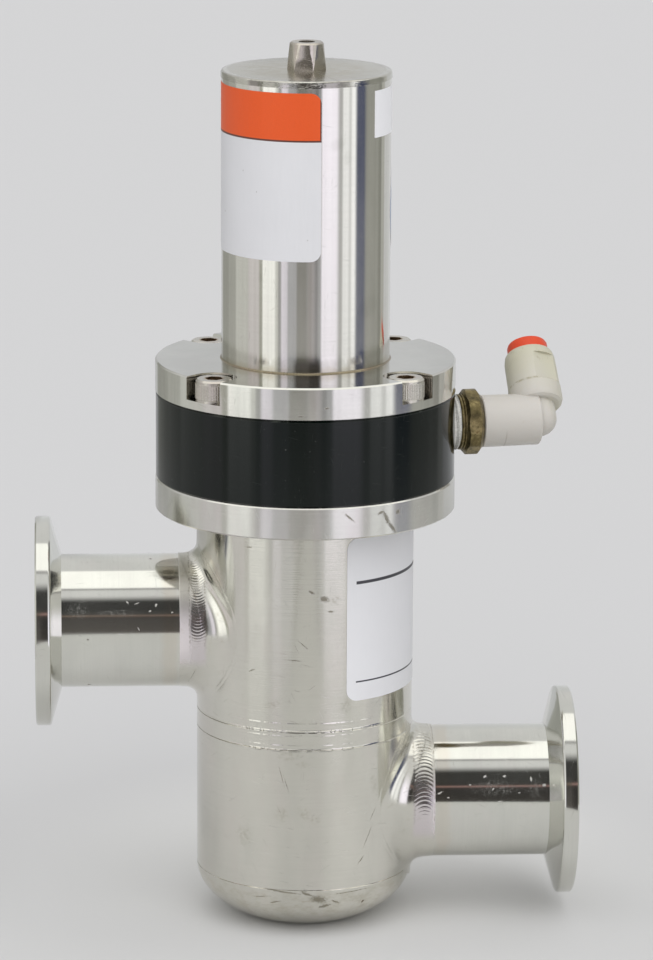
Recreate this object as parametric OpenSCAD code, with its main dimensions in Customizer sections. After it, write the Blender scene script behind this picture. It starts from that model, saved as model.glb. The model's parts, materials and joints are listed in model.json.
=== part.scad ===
// Air-operated inline vacuum valve with two clamp-flange ports and a bellows-sealed poppet.
// Millimetres, +Z up, origin under the middle of the dished bottom, upper port towards -X.

/* [Body] */
// Outer radius of the valve body tube
body_r = 20.64; // [19.5:0.01:21]
// Wall of the body tube and of the dished bottom
body_wall = 2.1; // [1.4:0.1:2.6]
// Depth that the full ellipse of the dished bottom would have
dish_depth = 11.44; // [9:0.01:12.2]
// Radius of the flat spot that the dished bottom stands on
rest_r = 10; // [9:0.5:12]
// Gap between the lower port tube and the seat ring
seat_up = 1.45; // [0.5:0.05:4]
// Thickness of the seat ring
seat_t = 3.5; // [3:0.1:4.5]
// Radius of the opening in the seat ring
seat_bore_r = 11.2; // [9:0.1:11.5]
// Depth of the turned groove where body pieces are welded together
seam_depth = 0.1; // [0.05:0.05:0.3]

/* [Ports] */
// Distance from the valve axis to the face of each port
port_reach = 51.4; // [45:0.1:60]
// Height of the lower port axis
lower_port_z = 23.5; // [23.1:0.05:26]
// Gap between the seat ring and the upper port tube
port_up = 4.2; // [3.5:0.1:8]
// Gap between the upper port tube and the body flange
flange_up = 9.6; // [8:0.1:15]
// Outer radius of the port tubes
port_r = 12.7; // [12.3:0.1:12.9]
// Wall of the port tubes
port_wall = 1.65; // [1:0.05:2]
// Radius of the clamp flange on each port
kf_r = 20; // [19:0.1:20]
// Thickness of the flange rim
kf_rim = 3; // [2.8:0.1:3.5]
// Slope of the clamping face on the back of the flange
kf_taper = 15; // [12:1:18]
// Radius of the recess for the centring ring
kf_recess_r = 13.1; // [12.9:0.1:13.5]
// Depth of the recess for the centring ring
kf_recess_d = 2.8; // [2:0.1:2.8]
// Reach of the pulled collar along the port
collar_out = 3.2; // [2:0.1:4]
// Reach of the pulled collar along the body
collar_side = 3.2; // [2:0.1:3.5]

/* [Actuator] */
// Reach of the two steel flanges beyond the body tube
flange_lap = 7.81; // [7.2:0.01:10]
// Thickness of the body flange
body_flange_t = 6.2; // [5.5:0.1:8]
// Thickness of the top flange
top_flange_t = 6.3; // [5.8:0.1:8]
// Step from the flanges in to the black air cylinder
cylinder_step = 0.1; // [0.05:0.05:0.3]
// Height of the black air cylinder
cylinder_h = 16.3; // [16:0.1:19]
// Wall of the air cylinder
cylinder_wall = 9.85; // [9:0.05:11]
// Width of the ledge in the body flange that carries the bonnet
bonnet_seat = 2.86; // [2.6:0.02:3.2]
// Depth that the bonnet is let into the body flange
bonnet_t = 4.2; // [3.8:0.1:4.6]
// Travel of the poppet from shut to open
lift = 8.5; // [5:0.5:8.5]

/* [Spring housing] */
// Outer radius of the spring tube
tube_r = 15.9; // [15.5:0.05:16.5]
// Wall of the spring tube
tube_wall = 1.6; // [1.2:0.1:1.8]
// Height of the spring tube and its cap above the top flange
tube_h = 54.8; // [45:0.1:65]
// Depth that the spring tube is let into the top flange
tube_socket = 3; // [2:0.1:4]
// Thickness of the tube cap rim
cap_t = 1.3; // [1.2:0.1:3]
// Overhang of the tube cap over the tube
cap_lip = 0.15; // [0:0.05:0.4]
// Depth of the cap spigot inside the tube
cap_spigot = 3; // [2:0.5:6]
// Radius of the spring wire
wire_r = 1.3; // [1:0.05:1.5]
// Number of turns of the spring
spring_turns = 8; // [6:0.5:10]
// Width across flats of the vent plug
plug_af = 6.35; // [5:0.05:8]
// Height of the vent plug above the cap
plug_h = 5.2; // [4:0.1:7]

/* [Screws] */
// Distance from the rim of the flanges in to the screw circle
screw_edge = 3.25; // [2.8:0.05:3.6]
// Radius of the screw shank
screw_r = 2; // [1.8:0.05:2.1]
// Radius of the screw head
head_r = 3.45; // [3.3:0.05:3.6]
// Height of the screw head
head_h = 4.2; // [3.5:0.1:4.4]
// Depth of the screw heads under the face of the top flange
head_sink = 0.2; // [0:0.05:0.6]
// Play round the screw heads in their slots
slot_play = 0.8; // [0.3:0.05:1]

/* [Poppet and bellows] */
// Width of the poppet disc outside the ring of its seal
poppet_lip = 2; // [1.5:0.1:3]
// Thickness of the poppet disc
poppet_t = 5; // [4:0.1:6]
// Land of the seat ring between its opening and the poppet seal
seat_land = 0.35; // [0.2:0.05:1]
// Radius of the section of the poppet seal
seal_r = 1.05; // [0.9:0.05:1.1]
// Radius of the valve stem
stem_r = 4; // [3.5:0.1:4.2]
// Outer radius of the bellows
bellows_r = 13; // [12:0.1:13.5]
// Inner radius of the bellows
bellows_inner_r = 9.6; // [9.4:0.1:10.5]
// Wall of the bellows sheet
bellows_wall = 0.3; // [0.2:0.05:0.4]
// Number of waves in the bellows
bellows_waves = 10; // [6:1:12]

/* [Air fitting] */
// Height of the fitting axis above the underside of the air cylinder
fitting_up = 8.9; // [8.6:0.05:9.2]
// Direction of the fitting seen from above, from +X
fitting_turn = 8; // [0:1:20]
// Lean of the hose leg away from the vertical
leg_lean = 43; // [0:1:60]
// Radius of the fitting thread
thread_r = 4.9; // [4.6:0.05:5]
// Depth that the thread goes into the air cylinder
thread_in = 5.7; // [4:0.1:6]
// Length of thread that shows between the air cylinder and the hex
thread_out = 2.05; // [1.6:0.05:4]
// Thickness of the hex
hex_t = 3.3; // [2.8:0.1:4]
// Width across flats of the hex
hex_af = 12; // [11:0.1:13]
// Radius of the elbow barrel
barrel_r = 5; // [4.8:0.05:5.3]
// Distance from the front of the hex to the axis of the hose leg
leg_out = 11.9; // [11:0.1:13]
// Radius of the hose leg
leg_r = 5; // [4.8:0.05:5.2]
// Height of the shoulder of the hose leg above the fitting axis
leg_h = 14.1; // [13.7:0.1:15]
// Radius of the air hose that pushes in
hose_r = 2; // [1.9:0.05:2.1]
// Travel of the release button
press = 0.8; // [0.4:0.1:1]

/* [Clearances] */
// Radial play of a running fit
run_play = 0.05; // [0.02:0.01:0.08]
// Radial play of pieces that are bolted, pressed or welded in place
seat_play = 0.03; // [0.02:0.01:0.05]
// Gap between rigid faces that come together when the valve is shut
shut_gap = 0.3; // [0.25:0.05:0.4]
// Gap that leaves a rubber ring just short of its seat
ring_gap = 0.04; // [0.02:0.01:0.06]

/* [Hidden] */
$fn = 96;
eps = 0.01;

// Heights of the body, from the flat spot upwards
tangent_z = dish_depth * sqrt(1 - pow(rest_r / body_r, 2));
body_inner_r = body_r - body_wall;
port_bore_r = port_r - port_wall;
seat_z = lower_port_z + port_r + seat_up;
seat_top = seat_z + seat_t;
upper_port_z = seat_top + port_up + port_r;
flange_z = upper_port_z + port_r + flange_up;

// Heights of the actuator
flange_r = body_r + flange_lap;
cylinder_r = flange_r - cylinder_step;
bore_r = cylinder_r - cylinder_wall;
bonnet_r = body_inner_r + bonnet_seat;
screw_circle_r = flange_r - screw_edge;
slot_depth = head_h + head_sink;
slot_r = head_r + slot_play;
flange_top = flange_z + body_flange_t;
cylinder_top = flange_top + cylinder_h;
top_z = cylinder_top + top_flange_t;
bonnet_floor = flange_top - bonnet_t;
tube_top = top_z + tube_h - cap_t;
tube_foot = top_z - tube_socket;
tube_inner_r = tube_r - tube_wall;
spigot_z = tube_top - cap_spigot;

// Rings of rubber, all of one section but the poppet seal
oring_r = 0.6;
oring_groove = 1.3;
oring_depth = 2 * oring_r + ring_gap;

// Poppet, from its underside upwards
poppet_z = seat_top + shut_gap;
poppet_top = poppet_z + poppet_t;
seal_z = seat_top + ring_gap + seal_r;
seal_ring_r = seat_bore_r + seat_land + seal_r;
poppet_r = seal_ring_r + poppet_lip;
hub_r = bellows_inner_r - 0.4;
hub_h = 2.6;
hub_top = poppet_top + hub_h;
retainer_r = seat_bore_r - 0.9;
retainer_t = 2.2;
cuff_r = bellows_inner_r + 1.4;
cuff_h = 2;
cuff_top_z = bonnet_floor - cuff_h;
cuff_bottom_z = poppet_top + cuff_h;

// Piston, from its underside upwards
piston_gap = 0.5;
piston_head_gap = 0.4;
piston_z = flange_top + piston_gap;
piston_h = cylinder_h - piston_gap - lift - piston_head_gap;
piston_top = piston_z + piston_h;
land_h = 2.7;
piston_r = bore_r - run_play;
skirt_r = piston_r - 1;
piston_seal_z = piston_top - land_h / 2;
neck_r = stem_r - 1;
washer_t = 0.8;
nut_t = 3.2;
nut_af = 8;
stem_top = piston_top + washer_t + nut_t + 1.2;
pilot_r = tube_inner_r - 2 * wire_r - 1;
spring_mean_r = tube_inner_r - 0.4 - wire_r;

// Bonnet bush
bush_r = stem_r + run_play + oring_depth + 0.3;
bush_lip_r = bush_r + 1.4;
bush_lip_t = 1;

// Air fitting
fitting_z = flange_top + fitting_up;
hex_start = cylinder_r + thread_out;
hex_end = hex_start + hex_t;
leg_x = hex_end + leg_out;
stud_neck_r = 3.4;
stud_bore_r = 1.5;
stud_end = leg_x - 3.8;
barrel_start = hex_end + shut_gap;
barrel_end = leg_x - 0.3;
corner_r = leg_r - 1.65;
band_z = 2.7;
band_h = 3.6;
hose_bore_r = hose_r + 0.1;
button_r = leg_r - 1.1;
button_h = 2.5;
socket_r = leg_r - 1.8;
button_sleeve_r = socket_r - 0.45;
socket_z = 5.6;
mouth_r = button_r + run_play;
mouth_z = leg_h - press - 0.3;
collet_top = mouth_z - 0.1;

// Puts children on the axis of the air fitting, +Z pointing away from the valve
module fitting_axis() {
    translate([0, 0, fitting_z]) rotate([0, 0, fitting_turn]) rotate([0, 90, 0]) children();
}

// Puts children on the axis of the hose leg, +Z pointing out of the hose socket
module leg_axis() {
    translate([0, 0, fitting_z]) rotate([0, 0, fitting_turn]) translate([leg_x, 0, 0]) rotate([-leg_lean, 0, 0])
        children();
}

module tube(outer, inner, bottom, top) {
    translate([0, 0, bottom]) difference() {
        cylinder(r = outer, h = top - bottom);
        translate([0, 0, -1]) cylinder(r = inner, h = top - bottom + 2);
    }
}

module torus(ring, section) {
    rotate_extrude() translate([ring, 0]) circle(r = section, $fn = 24);
}

// Four places on the screw circle
module at_screws() {
    for (turn = [45:90:315])
        rotate([0, 0, turn]) translate([screw_circle_r, 0, 0]) children();
}

// Quarter outline of the dished bottom, from the flat spot to the tangent line
function dish_outline(radius, depth, first, steps) = [
    for (i = [0:steps])
        let (angle = first + (90 - first) * i / steps)
            [radius * sin(angle), tangent_z - depth * cos(angle)]
];

module end_cap() {
    inner_depth = dish_depth - body_wall;
    outer_first = asin(rest_r / body_r);
    inner_first = acos((tangent_z - body_wall) / inner_depth);
    color("silver") difference() {
        rotate_extrude() polygon(concat(
            [[0, 0]],
            dish_outline(body_r, dish_depth, outer_first, 24),
            reverse(dish_outline(body_inner_r, inner_depth, inner_first, 16)),
            [[0, body_wall]]
        ));
        weld_groove(tangent_z);
    }
}

function reverse(list) = [for (i = [len(list) - 1:-1:0]) list[i]];

// Shallow turned groove round the body, centred on one height
module weld_groove(height) {
    rotate_extrude() polygon([
        [body_r - seam_depth, height], [body_r + eps, height - seam_depth], [body_r + eps, height + seam_depth]
    ]);
}

module lower_tube() {
    color("silver") difference() {
        tube(body_r, body_inner_r, tangent_z, seat_z);
        translate([0, 0, lower_port_z]) rotate([0, 90, 0]) cylinder(r = port_bore_r, h = body_r + 1);
        weld_groove(tangent_z);
        weld_groove(seat_z);
    }
}

module seat_ring() {
    color("silver") difference() {
        tube(body_r, seat_bore_r, seat_z, seat_top);
        weld_groove(seat_z);
        weld_groove(seat_top);
        translate([0, 0, seat_z - eps]) cylinder(r1 = seat_bore_r + 1, r2 = seat_bore_r, h = 1);
    }
}

module upper_tube() {
    color("silver") difference() {
        tube(body_r, body_inner_r, seat_top, flange_z);
        translate([0, 0, upper_port_z]) rotate([0, -90, 0]) cylinder(r = port_bore_r, h = body_r + 1);
        weld_groove(seat_top);
    }
}

// Clamp-flange nipple along +X, its inner end cut to the round of the body
module port_nipple(height) {
    cone_len = (kf_r - port_r) * tan(kf_taper);
    edge = 0.6;
    difference() {
        translate([0, 0, height]) rotate([0, 90, 0]) rotate_extrude() polygon(concat(
            [[port_bore_r, 0], [port_r, 0], [port_r, port_reach - kf_rim - cone_len]],
            [
                for (angle = [0:15:90 - kf_taper])
                    [kf_r - edge + edge * sin(angle + kf_taper), port_reach - kf_rim + edge - edge * cos(angle + kf_taper)]
            ],
            [
                [kf_r, port_reach - 0.3], [kf_r - 0.3, port_reach],
                [kf_recess_r, port_reach], [kf_recess_r, port_reach - kf_recess_d],
                [port_bore_r, port_reach - kf_recess_d]
            ]
        ));
        cylinder(r = body_r + seat_play, h = height + 2 * port_r);
    }
}

module lower_port() {
    color("gainsboro") port_nipple(lower_port_z);
}

module upper_port() {
    color("gainsboro") mirror([1, 0, 0]) port_nipple(upper_port_z);
}

// The pulled collar is a saddle fillet. At each turn round the port axis its outline runs from the
// port tube to the body along one curve, and back along the body and the tube.
collar_sides = 60;
collar_steps = 6;
collar_gap = 0.06;
body_steps = 3;

function on_body(radius, rho, turn) = sqrt(radius * radius - pow(rho * sin(turn), 2));

function collar_curve(turn, t) =
    let (
        rho = port_r + collar_side,
        end_x = on_body(body_r + collar_gap, rho, turn),
        corner_x = end_x + collar_side * rho * pow(sin(turn), 2) / end_x,
        a = [corner_x + collar_out, port_r + collar_gap],
        b = [corner_x, port_r + collar_gap],
        c = [end_x, rho]
    )
    (1 - t) * (1 - t) * a + 2 * t * (1 - t) * b + t * t * c;

function collar_back(turn, t) =
    let (rho = port_r + collar_gap + (1 - t) * (collar_side - collar_gap))
    [on_body(body_r + collar_gap, rho, turn) - (t < 1 ? 0 : -collar_gap), rho];

function collar_outline(turn) = concat(
    [for (i = [0:collar_steps]) collar_curve(turn, i / collar_steps)],
    [for (i = [1:body_steps]) collar_back(turn, i / body_steps)]
);

module port_collar(height) {
    count = collar_steps + 1 + body_steps;
    points = [
        for (k = [0:collar_sides - 1])
            let (turn = 360 * k / collar_sides)
                for (p = collar_outline(turn)) [p[0], p[1] * sin(turn), p[1] * cos(turn)]
    ];
    faces = [
        for (k = [0:collar_sides - 1], i = [0:count - 1])
            let (next = (k + 1) % collar_sides, j = (i + 1) % count)
                [k * count + i, k * count + j, next * count + j, next * count + i]
    ];
    translate([0, 0, height]) polyhedron(points, faces, convexity = 4);
}

module lower_port_collar() {
    color("gainsboro") port_collar(lower_port_z);
}

module upper_port_collar() {
    color("gainsboro") mirror([1, 0, 0]) port_collar(upper_port_z);
}

module body_flange() {
    color("silver") difference() {
        translate([0, 0, flange_z]) rotate_extrude() polygon([
            [body_inner_r, 0], [flange_r - 0.3, 0], [flange_r, 0.3], [flange_r, body_flange_t - 0.3],
            [flange_r - 0.3, body_flange_t], [bonnet_r + seat_play, body_flange_t],
            [bonnet_r + seat_play, body_flange_t - bonnet_t], [body_inner_r, body_flange_t - bonnet_t]
        ]);
        at_screws() translate([0, 0, flange_z - 1]) cylinder(r = screw_r + seat_play, h = body_flange_t + 2, $fn = 48);
    }
}

bonnet_ring_r = (body_inner_r + bonnet_r) / 2;

module bonnet() {
    color("gray") difference() {
        translate([0, 0, bonnet_floor]) cylinder(r = bonnet_r, h = bonnet_t);
        translate([0, 0, bonnet_floor - 1]) cylinder(r = bush_r + seat_play, h = bonnet_t + 2);
        translate([0, 0, flange_top - bush_lip_t - seat_play]) cylinder(r = bush_lip_r + seat_play, h = 2);
        tube(bonnet_ring_r + oring_groove / 2, bonnet_ring_r - oring_groove / 2, bonnet_floor - 1, bonnet_floor + oring_depth);
    }
}

module bonnet_oring() {
    color("dimgray") translate([0, 0, bonnet_floor + oring_r + ring_gap / 2]) torus(bonnet_ring_r, oring_r);
}

stem_ring_z = bonnet_floor + 1.6;

module stem_bush() {
    color("darkgoldenrod") difference() {
        union() {
            tube(bush_r, stem_r + run_play, bonnet_floor, flange_top);
            tube(bush_lip_r, stem_r + run_play, flange_top - bush_lip_t, flange_top);
        }
        tube(stem_r + oring_depth + run_play, stem_r, stem_ring_z - oring_groove / 2, stem_ring_z + oring_groove / 2);
    }
}

module stem_oring() {
    color("dimgray") translate([0, 0, stem_ring_z]) torus(stem_r + run_play + oring_r, oring_r);
}

module bellows_top_cuff() {
    color("silver") tube(cuff_r, bellows_inner_r, cuff_top_z, bonnet_floor);
}

module bellows_bottom_cuff() {
    color("silver") tube(cuff_r, hub_r + seat_play, poppet_top, cuff_bottom_z);
}

// Wavy sheet between the two cuffs, one cosine wave to each fold
module bellows() {
    length = cuff_top_z - cuff_bottom_z;
    mean_r = (bellows_r + bellows_inner_r) / 2;
    swing = (bellows_r - bellows_inner_r - bellows_wall) / 2;
    steps = bellows_waves * 12;
    outer = [
        for (i = [0:steps])
            [mean_r + bellows_wall / 2 - swing * cos(360 * bellows_waves * i / steps), cuff_bottom_z + length * i / steps]
    ];
    inner = [for (p = reverse(outer)) [p[0] - bellows_wall, p[1]]];
    color("lightsteelblue") rotate_extrude() polygon(concat(outer, inner));
}

module poppet() {
    groove = seal_r + 0.05;
    color("silver") difference() {
        union() {
            translate([0, 0, poppet_z]) rotate_extrude() polygon([
                [0, 0], [poppet_r - 0.5, 0], [poppet_r, 0.5], [poppet_r, poppet_t - 1.2], [poppet_r - 1.2, poppet_t],
                [hub_r, poppet_t], [hub_r, poppet_t + hub_h], [0, poppet_t + hub_h]
            ]);
        }
        tube(seal_ring_r + groove, seal_ring_r - groove, poppet_z - 1, seal_z + seal_r + ring_gap);
        translate([0, 0, poppet_z - 1]) cylinder(r = screw_r + seat_play, h = poppet_t - 0.2, $fn = 48);
        translate([0, 0, hub_top - 3]) cylinder(r = stem_r + seat_play, h = 4);
    }
}

module poppet_seal() {
    color("dimgray") translate([0, 0, seal_z]) torus(seal_ring_r, seal_r);
}

module seal_retainer() {
    color("silver") translate([0, 0, poppet_z - retainer_t]) difference() {
        rotate_extrude() polygon([
            [0, 0], [retainer_r - 1.2, 0], [retainer_r, 1.2], [retainer_r, retainer_t], [0, retainer_t]
        ]);
        translate([0, 0, -1]) cylinder(r = screw_r + seat_play, h = retainer_t + 2, $fn = 48);
    }
}

module retainer_screw() {
    head = 2.4;
    color("gray") difference() {
        union() {
            translate([0, 0, poppet_z - retainer_t]) cylinder(r = screw_r, h = retainer_t + poppet_t - 1.5, $fn = 48);
            translate([0, 0, poppet_z - retainer_t - head]) cylinder(r = head_r, h = head, $fn = 48);
        }
        translate([0, 0, poppet_z - retainer_t - head - 1]) cylinder(d = 3.46, h = 2.4, $fn = 6);
    }
}

module stem() {
    color("silver") union() {
        translate([0, 0, hub_top - 3]) cylinder(r = stem_r, h = piston_z - hub_top + 3);
        translate([0, 0, piston_z]) cylinder(r = neck_r, h = stem_top - piston_z - 0.5);
        translate([0, 0, stem_top - 0.5]) cylinder(r1 = neck_r, r2 = neck_r - 0.5, h = 0.5);
    }
}

module piston() {
    color("lightgray") difference() {
        translate([0, 0, piston_z]) rotate_extrude() polygon([
            [neck_r + seat_play, 0], [skirt_r, 0], [skirt_r, piston_h - land_h - 1], [piston_r, piston_h - land_h],
            [piston_r, piston_h], [pilot_r, piston_h], [pilot_r - 0.5, piston_h + 1.5], [nut_af, piston_h + 1.5],
            [nut_af, piston_h], [neck_r + seat_play, piston_h]
        ]);
        tube(piston_r + 1, bore_r - oring_depth, piston_seal_z - oring_groove / 2, piston_seal_z + oring_groove / 2);
    }
}

module piston_seal() {
    color("dimgray") translate([0, 0, piston_seal_z]) torus(bore_r - ring_gap - oring_r + 0.02, oring_r - 0.02);
}

module piston_washer() {
    color("gray") tube(nut_af * 0.8, neck_r + seat_play, piston_top, piston_top + washer_t);
}

module piston_nut() {
    nut_z = piston_top + washer_t;
    color("gray") difference() {
        intersection() {
            translate([0, 0, nut_z]) cylinder(d = nut_af / cos(30), h = nut_t, $fn = 6);
            translate([0, 0, nut_z]) rotate_extrude() polygon([
                [0, 0], [nut_af * 0.49, 0], [nut_af * 0.58, 0.5], [nut_af * 0.58, nut_t - 0.5],
                [nut_af * 0.49, nut_t], [0, nut_t]
            ]);
        }
        translate([0, 0, nut_z - 1]) cylinder(r = neck_r + seat_play, h = nut_t + 2);
    }
}

cylinder_ring_r = bore_r + 1.5;

module air_cylinder() {
    color("#1c211f") difference() {
        translate([0, 0, flange_top]) rotate_extrude() polygon([
            [bore_r, 0], [cylinder_r - 0.25, 0], [cylinder_r, 0.25], [cylinder_r, cylinder_h - 0.25],
            [cylinder_r - 0.25, cylinder_h], [bore_r, cylinder_h]
        ]);
        for (z = [flange_top - 1, cylinder_top - oring_depth])
            tube(cylinder_ring_r + oring_groove / 2, cylinder_ring_r - oring_groove / 2, z, z + 1 + oring_depth);
        at_screws() translate([0, 0, flange_top - 1]) cylinder(r = screw_r + 0.2, h = cylinder_h + 2, $fn = 48);
        fitting_axis() translate([0, 0, cylinder_r - thread_in - 0.3]) cylinder(r = thread_r + seat_play, h = thread_in + 2);
        fitting_axis() translate([thread_r, 0, bore_r - 2]) cylinder(r = 0.7, h = cylinder_r - bore_r, $fn = 32);
    }
}

module cylinder_orings() {
    color("dimgray") {
        translate([0, 0, flange_top + oring_r + ring_gap / 2]) torus(cylinder_ring_r, oring_r);
        translate([0, 0, cylinder_top - oring_r - ring_gap / 2]) torus(cylinder_ring_r, oring_r);
    }
}

module top_flange() {
    color("silver") difference() {
        translate([0, 0, cylinder_top]) rotate_extrude() polygon([
            [tube_inner_r, 0], [flange_r - 0.3, 0], [flange_r, 0.3], [flange_r, top_flange_t - 0.3],
            [flange_r - 0.3, top_flange_t], [tube_r + seat_play, top_flange_t],
            [tube_r + seat_play, top_flange_t - tube_socket], [tube_inner_r, top_flange_t - tube_socket]
        ]);
        at_screws() {
            translate([0, 0, cylinder_top - 1]) cylinder(r = screw_r + 0.2, h = top_flange_t + 2, $fn = 48);
            translate([0, 0, top_z - slot_depth]) {
                cylinder(r = slot_r, h = slot_depth + 1, $fn = 64);
                translate([0, -slot_r, 0]) cube([flange_r, 2 * slot_r, slot_depth + 1]);
            }
        }
    }
}

module cap_screws() {
    head_z = top_z - slot_depth;
    foot_z = flange_z + 0.6;
    color("gainsboro") at_screws() difference() {
        union() {
            translate([0, 0, foot_z]) cylinder(r = screw_r, h = head_z - foot_z + 1, $fn = 48);
            translate([0, 0, head_z]) rotate_extrude($fn = 48) polygon([
                [0, 0], [head_r, 0], [head_r, head_h - 0.35], [head_r - 0.35, head_h], [0, head_h]
            ]);
        }
        translate([0, 0, head_z + head_h - 2.2]) cylinder(d = 3.46, h = 3, $fn = 6);
    }
}

// Centre of the spring wire after a number of turns, with one closed turn at each end
function spring_height(turn, free) =
    let (closed = 2.1 * wire_r)
    turn < 1 ? closed * turn
    : turn > spring_turns - 1 ? free - closed * (spring_turns - turn)
    : closed + (free - 2 * closed) * (turn - 1) / (spring_turns - 2);

module spring() {
    sides = 8;
    per_turn = 20;
    rings = ceil(spring_turns * per_turn);
    free = spigot_z - piston_top - 2 * wire_r - 2 * ring_gap;
    points = [
        for (i = [0:rings])
            let (turn = spring_turns * i / rings, z = piston_top + ring_gap + wire_r + spring_height(turn, free))
                for (k = [0:sides - 1])
                    let (a = 360 * k / sides, r = spring_mean_r + wire_r * cos(a))
                        [r * cos(360 * turn), r * sin(360 * turn), z + wire_r * sin(a)]
    ];
    walls = [
        for (i = [0:rings - 1], k = [0:sides - 1])
            let (next = (k + 1) % sides)
                [i * sides + k, i * sides + next, (i + 1) * sides + next, (i + 1) * sides + k]
    ];
    caps = [[for (k = [sides - 1:-1:0]) k], [for (k = [0:sides - 1]) rings * sides + k]];
    color("darkgray") polyhedron(points, concat(walls, caps), convexity = 10);
}

module spring_tube() {
    color("silver") tube(tube_r, tube_inner_r, tube_foot, tube_top);
}

plug_stud_r = 2.4;
plug_turn = -12;

module tube_cap() {
    rim = tube_r + cap_lip;
    edge = 0.5;
    color("gainsboro") difference() {
        rotate_extrude() polygon(concat(
            [
                [0, spigot_z], [tube_inner_r - seat_play - 0.4, spigot_z], [tube_inner_r - seat_play, spigot_z + 0.4],
                [tube_inner_r - seat_play, tube_top], [rim, tube_top]
            ],
            [
                for (a = [0:15:90])
                    [rim - edge + edge * cos(a), tube_top + cap_t - edge + edge * sin(a)]
            ],
            [[0, tube_top + cap_t]]
        ));
        translate([0, 0, spigot_z - 1]) cylinder(r = plug_stud_r + seat_play, h = cap_spigot + cap_t + 2);
    }
}

module vent_plug() {
    base_z = tube_top + cap_t;
    base_r = plug_af * 0.578;
    tip_r = plug_af / 2 - 0.125;
    hole_r = 1.5;
    color("silver") difference() {
        union() {
            intersection() {
                translate([0, 0, base_z]) rotate([0, 0, plug_turn]) cylinder(d = plug_af / cos(30), h = plug_h, $fn = 6);
                translate([0, 0, base_z]) rotate_extrude() polygon([
                    [0, 0], [base_r, 0], [tip_r + 0.15, plug_h - 0.3], [tip_r - 0.15, plug_h], [0, plug_h]
                ]);
            }
            translate([0, 0, spigot_z + 0.5]) cylinder(r = plug_stud_r, h = cap_spigot + cap_t);
        }
        translate([0, 0, spigot_z]) cylinder(r = 0.8, h = cap_spigot + cap_t + plug_h, $fn = 32);
        translate([0, 0, base_z + plug_h - 2.5]) cylinder(r = hole_r, h = 3);
    }
}

module air_stud() {
    head_r = hex_af / 2 + 0.25;
    hex_turn = -7;
    ring_r = hex_af / 2 - 0.6;
    ring_len = 1;
    thread_end = cylinder_r - thread_in;
    ring_x = (barrel_start + stud_end) / 2 + 1;
    color("#6e6440") fitting_axis() difference() {
        union() {
            translate([0, 0, thread_end]) cylinder(r1 = thread_r - 0.6, r2 = thread_r, h = 0.6);
            translate([0, 0, thread_end + 0.6]) cylinder(r = thread_r, h = hex_start - thread_end - 0.6);
            translate([0, 0, hex_start - ring_len]) rotate_extrude() polygon([
                [0, 0], [ring_r - 0.3, 0], [ring_r - 0.1, 0.2], [ring_r - 0.1, 0.4], [ring_r - 0.3, 0.5],
                [ring_r - 0.3, 0.6], [ring_r, 0.75], [ring_r, ring_len + eps], [0, ring_len + eps]
            ]);
            intersection() {
                rotate([0, 0, hex_turn]) translate([0, 0, hex_start]) cylinder(d = hex_af / cos(30), h = hex_t, $fn = 6);
                translate([0, 0, hex_start]) rotate_extrude() polygon([
                    [0, 0], [head_r - 0.6, 0], [head_r, 0.5], [head_r, hex_t - 0.7], [head_r - 0.9, hex_t], [0, hex_t]
                ]);
            }
            translate([0, 0, hex_end - eps]) cylinder(r = stud_neck_r, h = stud_end - hex_end);
        }
        translate([0, 0, thread_end - 1]) cylinder(r = stud_bore_r, h = stud_end);
        tube(stud_neck_r + 1, stud_neck_r + run_play - oring_depth, ring_x - oring_groove / 2, ring_x + oring_groove / 2);
    }
}

module stud_oring() {
    ring_x = (barrel_start + stud_end) / 2 + 1;
    color("dimgray") fitting_axis() translate([0, 0, ring_x]) torus(stud_neck_r + run_play - ring_gap - oring_r, oring_r - 0.02);
}

module elbow_body() {
    corner_step = 10;
    flat_at = leg_r - 0.65;
    flat_turn = -66;
    flat_top = leg_h - 1.8;
    flat_z = band_z + band_h + 0.05;
    color("#e4e2d6") difference() {
        union() {
            fitting_axis() rotate_extrude() polygon([
                [0, barrel_start], [barrel_r - 0.2, barrel_start], [barrel_r, barrel_start + 0.2],
                [barrel_r - 0.12, barrel_end - 0.25], [barrel_r - 0.37, barrel_end], [0, barrel_end]
            ]);
            leg_axis() rotate_extrude() polygon(concat(
                [[0, -corner_r * cos(corner_step)]],
                [for (a = [corner_step:corner_step:90]) [corner_r * sin(a), -corner_r * cos(a)]],
                [[corner_r, band_z + 1], [0, band_z + 1]]
            ));
            leg_axis() rotate_extrude() polygon([
                [0, band_z], [leg_r - 0.7, band_z], [leg_r - 0.15, band_z + 0.35], [leg_r + 0.1, band_z + 1],
                [leg_r + 0.1, band_z + band_h], [leg_r, band_z + band_h + 0.1], [leg_r - 0.1, leg_h - 1.6],
                [leg_r - 0.35, leg_h - 0.4], [leg_r - 0.6, leg_h], [0, leg_h]
            ]);
        }
        fitting_axis() translate([0, 0, barrel_start - 1]) cylinder(r = stud_neck_r + run_play, h = stud_end - barrel_start + 1.4);
        fitting_axis() translate([0, 0, stud_end - 1]) cylinder(r = stud_bore_r, h = leg_x - stud_end + 1);
        leg_axis() cylinder(r = stud_bore_r, h = socket_z + 1);
        leg_axis() translate([0, 0, socket_z - 2.2]) cylinder(r = hose_bore_r, h = 3);
        leg_axis() translate([0, 0, socket_z]) cylinder(r = socket_r, h = leg_h);
        leg_axis() translate([0, 0, mouth_z]) cylinder(r = mouth_r, h = leg_h);
        leg_axis() rotate([0, 0, flat_turn]) translate([flat_at, -leg_r, flat_z])
            cube([2, 2 * leg_r, flat_top - flat_z]);
    }
}

module tube_seal() {
    color("dimgray") leg_axis() tube(socket_r - seat_play, hose_bore_r, socket_z + 0.02, socket_z + 1.8);
}

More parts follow.
